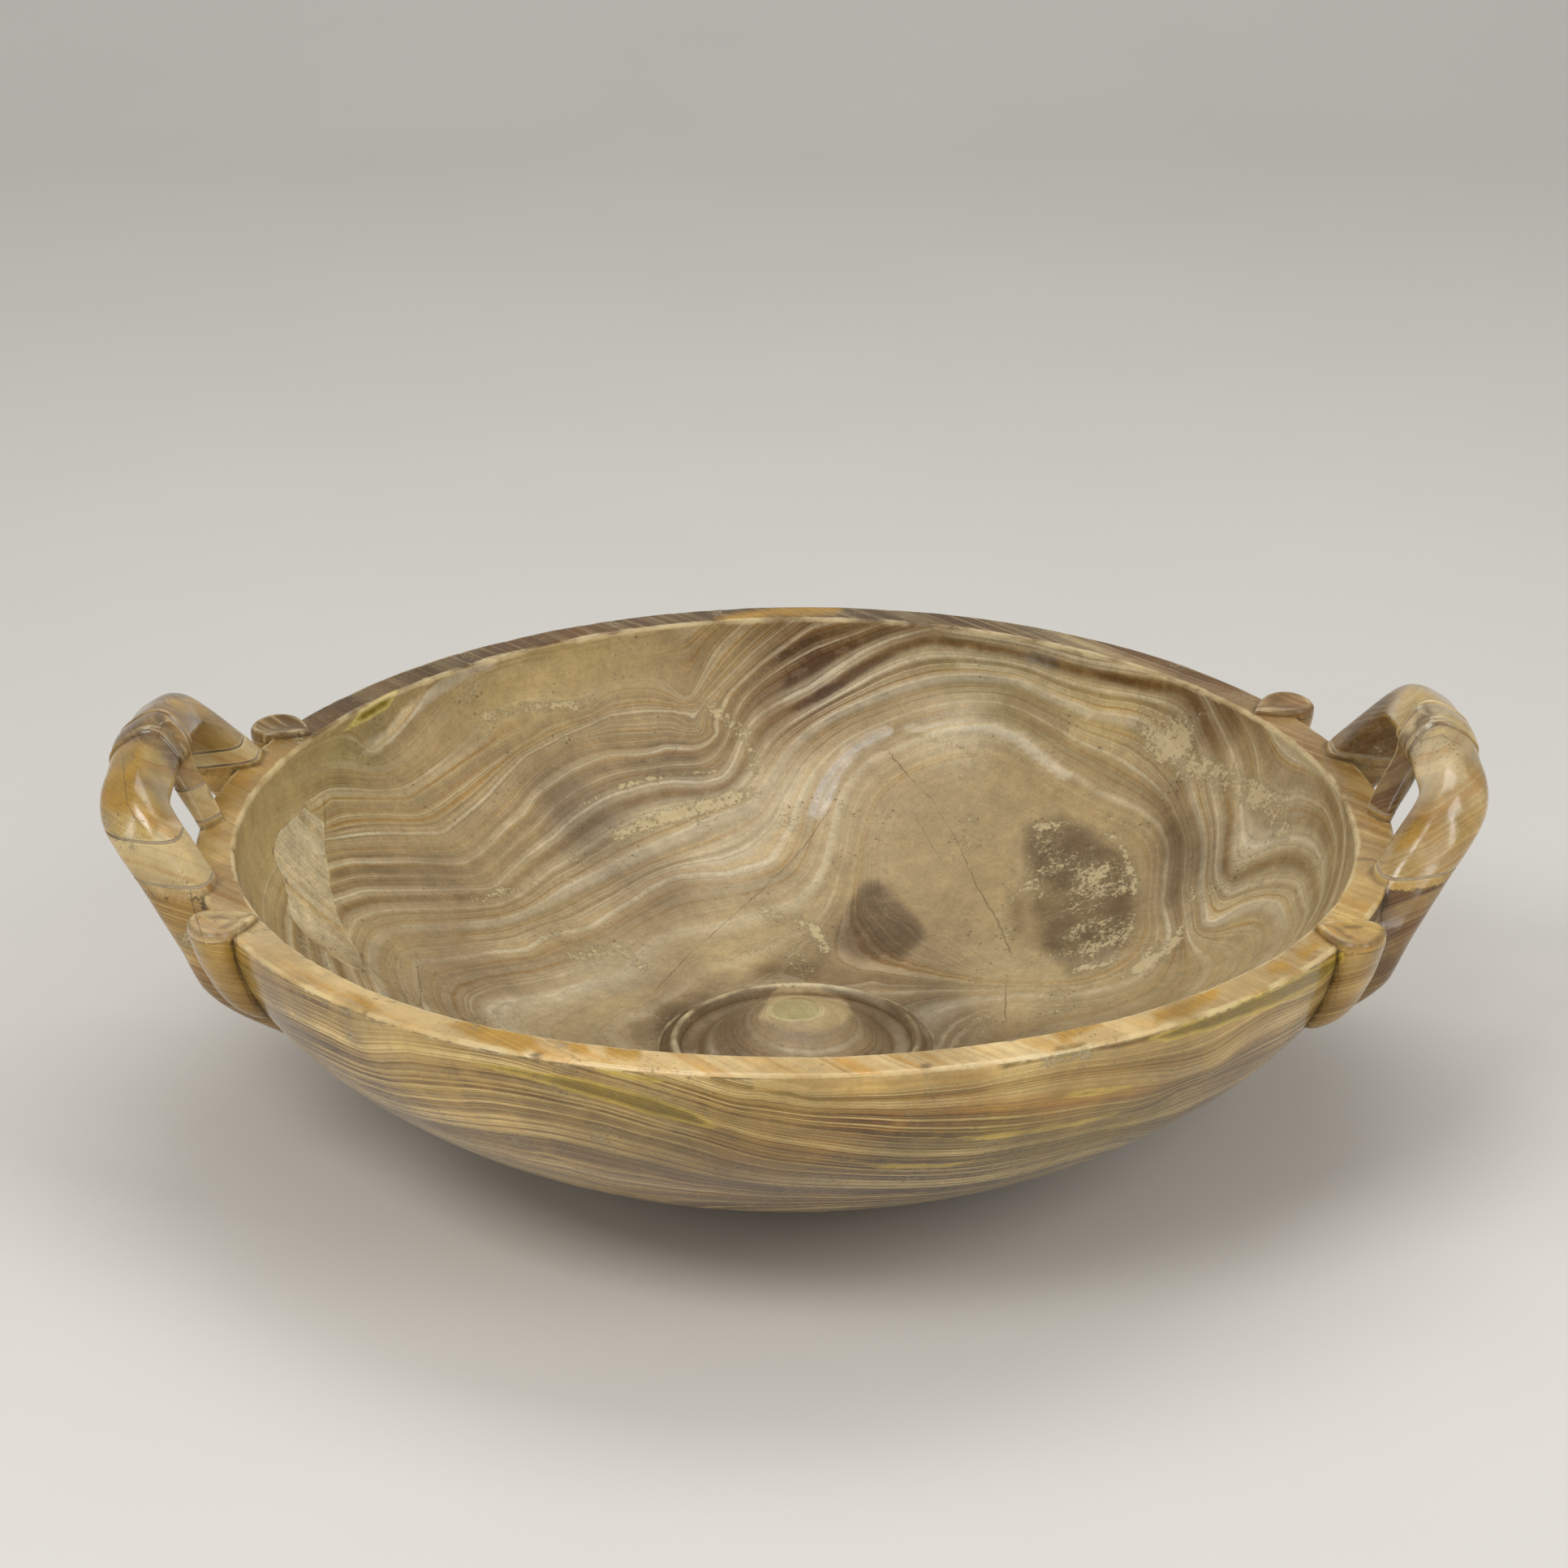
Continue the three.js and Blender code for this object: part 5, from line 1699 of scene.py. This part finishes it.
# Places where the bands are fainter, or stronger below 0: how much, softness in pixels and the outline
QUIET = [
    (0.7, 16, [
        (560, 850), (700, 800), (840, 770), (850, 850), (760, 850), (660, 890), (560, 930), (480, 960),
    ]),
    (0.7, 12, [
        (300, 1000), (340, 900), (420, 850), (430, 930), (380, 980), (345, 1060), (320, 1110), (290, 1080),
    ]),
    (0.85, 16, [
        (1090, 1040), (1115, 982), (1200, 958), (1265, 1000), (1380, 1045), (1400, 1110), (1372, 1178),
        (1300, 1200), (1170, 1160), (1100, 1120),
    ]),
    (0.5, 30, [
        (1040, 1180), (1030, 1040), (1080, 940), (1200, 910), (1420, 1010), (1430, 1180), (1250, 1220),
    ]),
    (0.6, 14, [(860, 1220), (1100, 1220), (1130, 1290), (840, 1290)]),
    (0.4, 20, [(1230, 850), (1320, 810), (1420, 860), (1380, 910)]),
    (-1.0, 24, [
        (960, 800), (1100, 765), (1300, 780), (1440, 840), (1420, 900), (1250, 850), (1100, 860),
        (980, 900),
    ]),
    (-0.25, 20, [
        (1480, 870), (1560, 850), (1640, 940), (1660, 1040), (1625, 1150), (1540, 1170), (1500, 1080),
    ]),
    (-0.1, 30, [
        (404, 1030), (560, 960), (750, 880), (880, 860), (960, 900), (900, 1000), (700, 1100), (404, 1110),
    ]),
    (0.5, 30, [(700, 1180), (860, 1080), (1000, 1090), (1040, 1180), (900, 1210), (760, 1240)]),
    (0.5, 20, [(420, 1130), (560, 1110), (600, 1180), (520, 1240), (440, 1200)]),
    (0.85, 5, [(920, 1320), (1060, 1324), (1230, 1308), (1240, 1326), (1080, 1346), (930, 1346)]),
    (0.6, 20, [
        (1440, 1190), (1500, 1150), (1590, 1150), (1560, 1200), (1400, 1260), (1200, 1290), (1180, 1240),
    ]),
]
# Chips of the lip: pixel of the photograph, radius and depth in millimetres
CHIPS = [
    ((1317, 1288), 10, 1.2), ((1292, 1293), 7, 0.7), ((1140, 1313), 4, 0.6), ((1410, 1266), 8, 0.6),
    ((470, 1240), 7, 0.6), ((1345, 1280), 6, 0.6), ((560, 1262), 6, 0.5),
]


# Wear of the lip's edges in millimetres
WEAR_WIDTH = 3.2
WEAR_DEPTH = 2.2


def chip_edges(basin, tree, camera):
    """Worn and chipped edges of the lip: fine wear all round and a few larger chips in front."""
    points = points_of(basin)
    place = to_millimetres(points)
    radius = np.hypot(place[:, 0], place[:, 1])
    height = place[:, 2] - saddle(place[:, 2], np.arctan2(place[:, 1], place[:, 0]))
    edges = [np.hypot(radius - edge, height) for edge in (RIM_RADIUS, INNER_WALL["radius"])]
    edges = np.minimum(*edges)
    near = np.flatnonzero(edges < WEAR_WIDTH)
    wear = noise_at(points[near], 0.007, 4) * 0.5 + noise_at(points[near], 0.022, 5) * 0.6
    depth = np.zeros(len(points))
    depth[near] = np.clip(wear - 0.12, 0, 1) * (1 - edges[near] / WEAR_WIDTH) * WEAR_DEPTH
    for pixel, size, deep in CHIPS:
        spot = to_millimetres(seen_places(tree, camera, [pixel]))[0]
        away = np.linalg.norm(place - spot, axis=1) / size
        depth = np.maximum(depth, deep * np.clip(1 - away**2, 0, 1))
    set_points(basin, points - normals_of(basin) * depth[:, None] * MM)


def piece_tree(piece):
    faces = [tuple(face.vertices) for face in piece.data.polygons]
    return BVHTree.FromPolygons(points_of(piece).tolist(), faces)


# Limits of the inside and the lip: depths below the rim and below the floor, and leeway round wall and boss
INSIDE_DEPTH = 1.1
LIP_DEPTH = 2.0
WALL_LEEWAY = 3
BOSS_LEEWAY = 4
BOSS_DEPTH = 8
POCKET_DEPTH = 20


def surface_parts(points):
    """Which points of the basin are inside the bowl, or on its lip, from places in millimetres."""
    radius = np.hypot(points[:, 0], points[:, 1])
    height = points[:, 2] - saddle(points[:, 2], np.arctan2(points[:, 1], points[:, 0]))
    wall = wall_radius(INNER_WALL, np.minimum(height, -0.01))
    floor = (radius < BOSS_RADIUS + BOSS_LEEWAY) & (height > FLOOR_LEVEL - BOSS_DEPTH)
    within = (radius < wall + WALL_LEEWAY) | floor
    inside = (height < -INSIDE_DEPTH) & within & (height > FLOOR_LEVEL - POCKET_DEPTH)
    lip = ~inside & (height > -LIP_DEPTH)
    return inside, lip


def basin_colour(points, parts, trees, camera):
    """The basin's colour before its patches, blended from spots of inside, lip, outside and boss."""
    inside, lip, outside = parts
    colour = np.zeros((len(points), 3))
    boss = inside & (np.hypot(points[:, 0], points[:, 1]) < BOSS_RADIUS * MM)
    for chosen, tables, tree, spread in (
        (inside, [INNER_TINTS, BOSS_TINTS], "inner", BASIN_TINT_SPREAD),
        (lip, [LIP_TINTS], "basin", BASIN_TINT_SPREAD),
        (outside, [OUTER_TINTS], "basin", BASIN_TINT_SPREAD),
        (boss, [BOSS_TINTS], "basin", BOSS_TINT_SPREAD),
    ):
        spots = [spot for table in tables for spot in tint_spots(table, trees[tree], camera)]
        colour[chosen] = blend_tints(points[chosen], spots, spread)
    return colour


def basin_veining(points, outside, pixels, seen):
    """How strongly bands show: less on what stands proud of the outer wall, and as QUIET says."""
    place = to_millimetres(points)
    proud = outside & (np.hypot(place[:, 0], place[:, 1]) > wall_radius(OUTER_WALL, place[:, 2]) + 2.5)
    veining = np.where(proud, 0.5, np.where(outside, 1.2, 1.0))
    for strength, softness, outline in QUIET:
        veining *= 1 - strength * seen * shape_mask(pixels, 0, softness, outline)
    return veining


def paint_basin(basin, camera, trees, fields):
    """Colours, bands and marks of the basin, written on its points."""
    points = points_of(basin)
    inside, lip = surface_parts(to_millimetres(points))
    outside = ~inside & ~lip
    pixels = pixels_of(camera, points)
    seen = facing(basin, camera) * np.where(inside, over_rim(points, camera), 1)
    band = np.where(inside, fields["inner"].at(points), fields["outer"].at(points))
    band[lip] = points[lip] @ LIP_GRAIN
    crack = crack_distance(points, inside, trees["inner"], camera)
    crack[~inside] = drawn_distance(pixels[~inside], seen[~inside], BASIN_SEAMS)
    colour = basin_colour(points, (inside, lip, outside), trees, camera)
    write_surface(basin, {
        "band": band,
        "veining": basin_veining(points, outside, pixels, seen),
        "crack": crack,
        "crust": seen * marked(pixels, CRUSTS),
        "stain": seen * marked(pixels, STAINS),
        "green": patch_depth(pixels, seen, GREEN_PATCHES),
        "gold": patch_depth(pixels, seen * ~inside, GOLD_PATCHES),
    }, paint_patches(colour, pixels, seen, BASIN_PATCHES))


def marked(pixels, table):
    """The strongest of a table's marks at each pixel."""
    amount = np.zeros(len(pixels))
    for half_width, softness, line in table:
        amount = np.maximum(amount, shape_mask(pixels, half_width, softness, line))
    return amount


def crack_distance(points, inside, tree, camera):
    """Distance in millimetres from the nearest crack, below 0 on one side of it."""
    away = np.full(len(points), NO_CRACK)
    plan = points[:, :2]
    for crack in CRACKS:
        path = seen_places(tree, camera, crack)[:, :2]
        distance, side = distance_to_path(plan[inside], path)
        best = away[inside]
        away[inside] = np.where(distance / MM < np.abs(best), distance * side / MM, best)
    return np.clip(away, -NO_CRACK, NO_CRACK)


def drawn_distance(pixels, seen, paths):
    """Distance in millimetres from the nearest of some paths drawn on the photograph."""
    away = np.full(len(pixels), NO_CRACK)
    for path in paths:
        distance, side = distance_to_path(pixels, path)
        distance = np.where(seen > 0, distance * PIXEL, NO_CRACK)
        away = np.where(distance < np.abs(away), distance * side, away)
    return away


def patch_depth(pixels, seen, outlines):
    """How far points lie inside any of some outlines, in millimetres, below 0 outside them."""
    depth = np.full(len(pixels), NO_PATCH)
    for outline in outlines:
        depth = np.maximum(depth, distance_inside(pixels, outline) * PIXEL)
    return np.where(seen > 0, depth, NO_PATCH)


def write_surface(piece, values, colour):
    """Values and colour that the stone's shader reads, with plain ones for what isn't given."""
    points = points_of(piece)
    arrises, creases = sharp_places(piece)
    plain = {"veining": 1, "crust": 0, "stain": 0, "crack": NO_CRACK, "green": NO_PATCH, "gold": NO_PATCH}
    plain["arris"] = nearest_distance(points, arrises)
    plain["crease"] = nearest_distance(points, creases)
    for name, value in {**plain, **values}.items():
        write_value(piece, name, np.broadcast_to(value, len(points)))
    write_colour(piece, "tint", np.broadcast_to(colour, (len(points), 3)))


# Direction of the bands of the smaller pieces, with their spacing in metres
GRAINS = {
    "left_arch": ((0.5, 0.3, 0.85), 0.012), "right_arch": ((-0.5, 0.3, 0.85), 0.012),
    "insert": ((0.5, 0.7, 0.5), 0.016), "plug": ((1, 0.4, 0), 0.02), "splice": ((0.3, 0.5, 0.8), 0.02),
}


def straight_bands(piece, kind):
    """Straight bands across a smaller piece."""
    grain, spacing = GRAINS[kind]
    return points_of(piece) @ (np.array(grain) / np.linalg.norm(grain)) / spacing


def paint_arch(piece, side, camera):
    """Bands and blotches of a handle's arch."""
    tree = piece_tree(piece)
    points = points_of(piece)
    pixels = pixels_of(camera, points)
    seen = facing(piece, camera)
    colour = blend_tints(points, tint_spots(ARCH_TINTS[side["name"]], tree, camera), ARCH_TINT_SPREAD)
    colour = paint_patches(colour, pixels, seen, ARCH_PATCHES[side["name"]])
    write_surface(piece, {
        "band": straight_bands(piece, side["name"] + "_arch"),
        "crack": drawn_distance(pixels, seen, ARCH_SEAMS[side["name"]]),
        "gold": patch_depth(pixels, seen, ARCH_GOLD[side["name"]]),
    }, colour)


def split_basin(basin, materials):
    """The three finishes of the basin: inside, lip and outside."""
    for material in materials:
        basin.data.materials.append(material)
    inside, lip = surface_parts(to_millimetres(points_of(basin)))
    kind = np.where(inside, 0, np.where(lip, 1, 2))
    faces = basin.data.polygons
    faces.foreach_set("material_index", [int(kind[face.vertices[0]]) for face in faces])


def dress(piece, node, material=None):
    """A finished piece in place of its node, kept within the box of the solids."""
    set_points(piece, np.clip(points_of(piece), *CAD_BOX))
    if material:
        piece.data.materials.append(material)
    shade_smooth(piece, SMOOTH_ANGLE)
    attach(piece, "root")
    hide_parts(node)


def carve():
    """All stone pieces, cut and fitted, with the nodes that they stand for."""
    basin = add_piece("basin_stone", *bent_bowl())
    roughen(basin, *UNEVEN["bowl"])
    pieces = []
    holes = []
    for side in SIDES:
        root, side_holes, side_pieces = take_apart(side)
        lobes = [add_piece("lobe", *lobe_shape(side, end)) for end in (-1, 1)]
        for lobe in lobes:
            roughen(lobe, *UNEVEN["lobe"])
        combine(basin, "UNION", root, *lobes)
        drop(root, *lobes)
        holes += side_holes
        pieces += side_pieces
    block = insert_block("block", 0)
    pocket = insert_block("pocket", 0.5 * GAP)
    insert = combine(copy_piece("wall_insert_stone", basin), "INTERSECT", block)
    plug_pocket = add_piece("plug_pocket", *plug_shape(0.5 * GAP))
    combine(basin, "DIFFERENCE", pocket, plug_pocket, *holes)
    drop(block, pocket, plug_pocket, *holes)
    plug = add_piece("centre_plug_stone", *plug_shape(0))
    return basin, insert, plug, pieces


def bent_bowl():
    points, faces = revolve(bowl_profile(), BOWL_SEGMENTS)
    return bend_to_saddle(points), faces


def insert_colour(insert):
    """Pale above, brown below."""
    height = points_of(insert)[:, 2]
    share = ((height - height.min()) / np.ptp(height))[:, None]
    return linear("brown") * (1 - share) ** 2 + linear("pale") * (1 - (1 - share) ** 2)


def dress_all(camera):
    """Every piece with its surface, in place of its node."""
    basin, insert, plug, pieces = carve()
    trees = {"inner": wall_tree(INNER_WALL, FLOOR_LEVEL), "outer": wall_tree(OUTER_WALL, FOOT_TOP)}
    trees["basin"] = piece_tree(basin)
    chip_edges(basin, trees["basin"], camera)
    outer_lines = layer_lines(OUTER_LAYERS, trees["outer"], camera, OUTER_STEP)
    fields = {
        "inner": Layers(layer_lines(INNER_LAYERS, trees["inner"], camera, INNER_STEP), LAYER_SLACK),
        "outer": Layers(outer_lines + back_lines(), LAYER_SLACK),
    }
    stones = {name: stone(name) for name in STONE_LOOKS}
    paint_basin(basin, camera, trees, fields)
    split_basin(basin, [stones["inner_stone"], stones["lip_stone"], stones["outer_stone"]])
    dress(basin, "basin")
    write_surface(insert, {"band": straight_bands(insert, "insert")}, insert_colour(insert))
    dress(insert, "wall_insert", stones["insert_stone"])
    write_surface(plug, {"band": straight_bands(plug, "plug")}, linear("plug"))
    dress(plug, "centre_plug", stones["plug_stone"])
    dress_handles(pieces, stones, camera)


def dress_handles(pieces, stones, camera):
    """The handles' arches, splices and mortar beds."""
    fill = mortar()
    for piece, node in pieces:
        if node.endswith("bed"):
            dress(piece, node, fill)
        elif node.endswith("splice"):
            write_surface(piece, {"band": straight_bands(piece, "splice")}, linear("splice"))
            dress(piece, node, stones["splice_stone"])
        else:
            side = SIDES[0] if node.startswith("left") else SIDES[1]
            paint_arch(piece, side, camera)
            dress(piece, node, stones["arch_stone"])


def dress_pins():
    """The steel of the pins, which keep their own meshes."""
    bar = steel()
    for name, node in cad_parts.items():
        if name.endswith("pin"):
            node.data.materials.clear()
            node.data.materials.append(bar)


# Floor and backdrop in metres
FLOOR_FRONT = -6
FLOOR_BEND = 2.4
BEND_RADIUS = 1.6
BACKDROP_HEIGHT = 6
BACKDROP_HALF_WIDTH = 7


def studio():
    """Pale floor that curves up into a backdrop."""
    line = [(FLOOR_FRONT, 0)]
    for angle in np.linspace(0, math.pi / 2, 24):
        line.append((FLOOR_BEND + BEND_RADIUS * math.sin(angle), BEND_RADIUS * (1 - math.cos(angle))))
    line.append((FLOOR_BEND + BEND_RADIUS, BACKDROP_HEIGHT))
    points = [(x, y, z) for x in (-BACKDROP_HALF_WIDTH, BACKDROP_HALF_WIDTH) for y, z in line]
    count = len(line)
    faces = [[i, i + count, i + count + 1, i + 1] for i in range(count - 1)]
    mesh = bpy.data.meshes.new("backdrop")
    mesh.from_pydata(points, [], faces)
    floor = bpy.data.objects.new("backdrop", mesh)
    bpy.context.scene.collection.objects.link(floor)
    mesh.polygons.foreach_set("use_smooth", [True] * len(mesh.polygons))
    shader = Shader("backdrop")
    place = shader.add("TexCoord").outputs["Object"]
    colour = shader.mix(shader.noise(place, 3, 3), rgb("floor_deep"), rgb("floor_pale"))
    surface = shader.add("BsdfPrincipled", {"Base Color": colour, "Roughness": 0.9})
    shader.add("OutputMaterial", {"Surface": surface.outputs[0]})
    mesh.materials.append(shader.material)


# Lamps: place and aim in metres, width and height in metres, and power in watts
LAMPS = [
    ("key", (-1.3, -1.9, 2.5), (0, 0, 0.1), (1.4, 1.0), 36.5),
    ("fill", (2.0, -1.5, 1.8), (0, 0, 0.1), (1.2, 1.2), 19),
    ("top", (0.2, 0.6, 2.8), (0, 0.1, 0.1), (2.4, 1.4), 26),
    ("left_strip", (-1.9, -1.3, 0.9), (-0.3, 0, 0.15), (0.25, 0.9), 4),
    ("right_strip", (1.9, -1.6, 0.8), (0.3, 0, 0.15), (0.25, 0.9), 4),
]
DAYLIGHT = 0.45


def light():
    for name, place, aim, size, power in LAMPS:
        lamp = bpy.data.lights.new(name, "AREA")
        lamp.shape = "RECTANGLE"
        lamp.size, lamp.size_y = size
        lamp.energy = power
        holder = bpy.data.objects.new(name, lamp)
        holder.location = place
        holder.rotation_euler = (Vector(aim) - Vector(place)).to_track_quat("-Z", "Y").to_euler()
        bpy.context.scene.collection.objects.link(holder)
    world = bpy.data.worlds.new("world")
    world.use_nodes = True
    sky = world.node_tree.nodes["Background"]
    sky.inputs["Color"].default_value = (1, 1, 1, 1)
    sky.inputs["Strength"].default_value = DAYLIGHT
    bpy.context.scene.world = world


photo_camera = place_camera()
dress_all(photo_camera)
dress_pins()
studio()
light()
bpy.context.scene.view_settings.view_transform = "Standard"
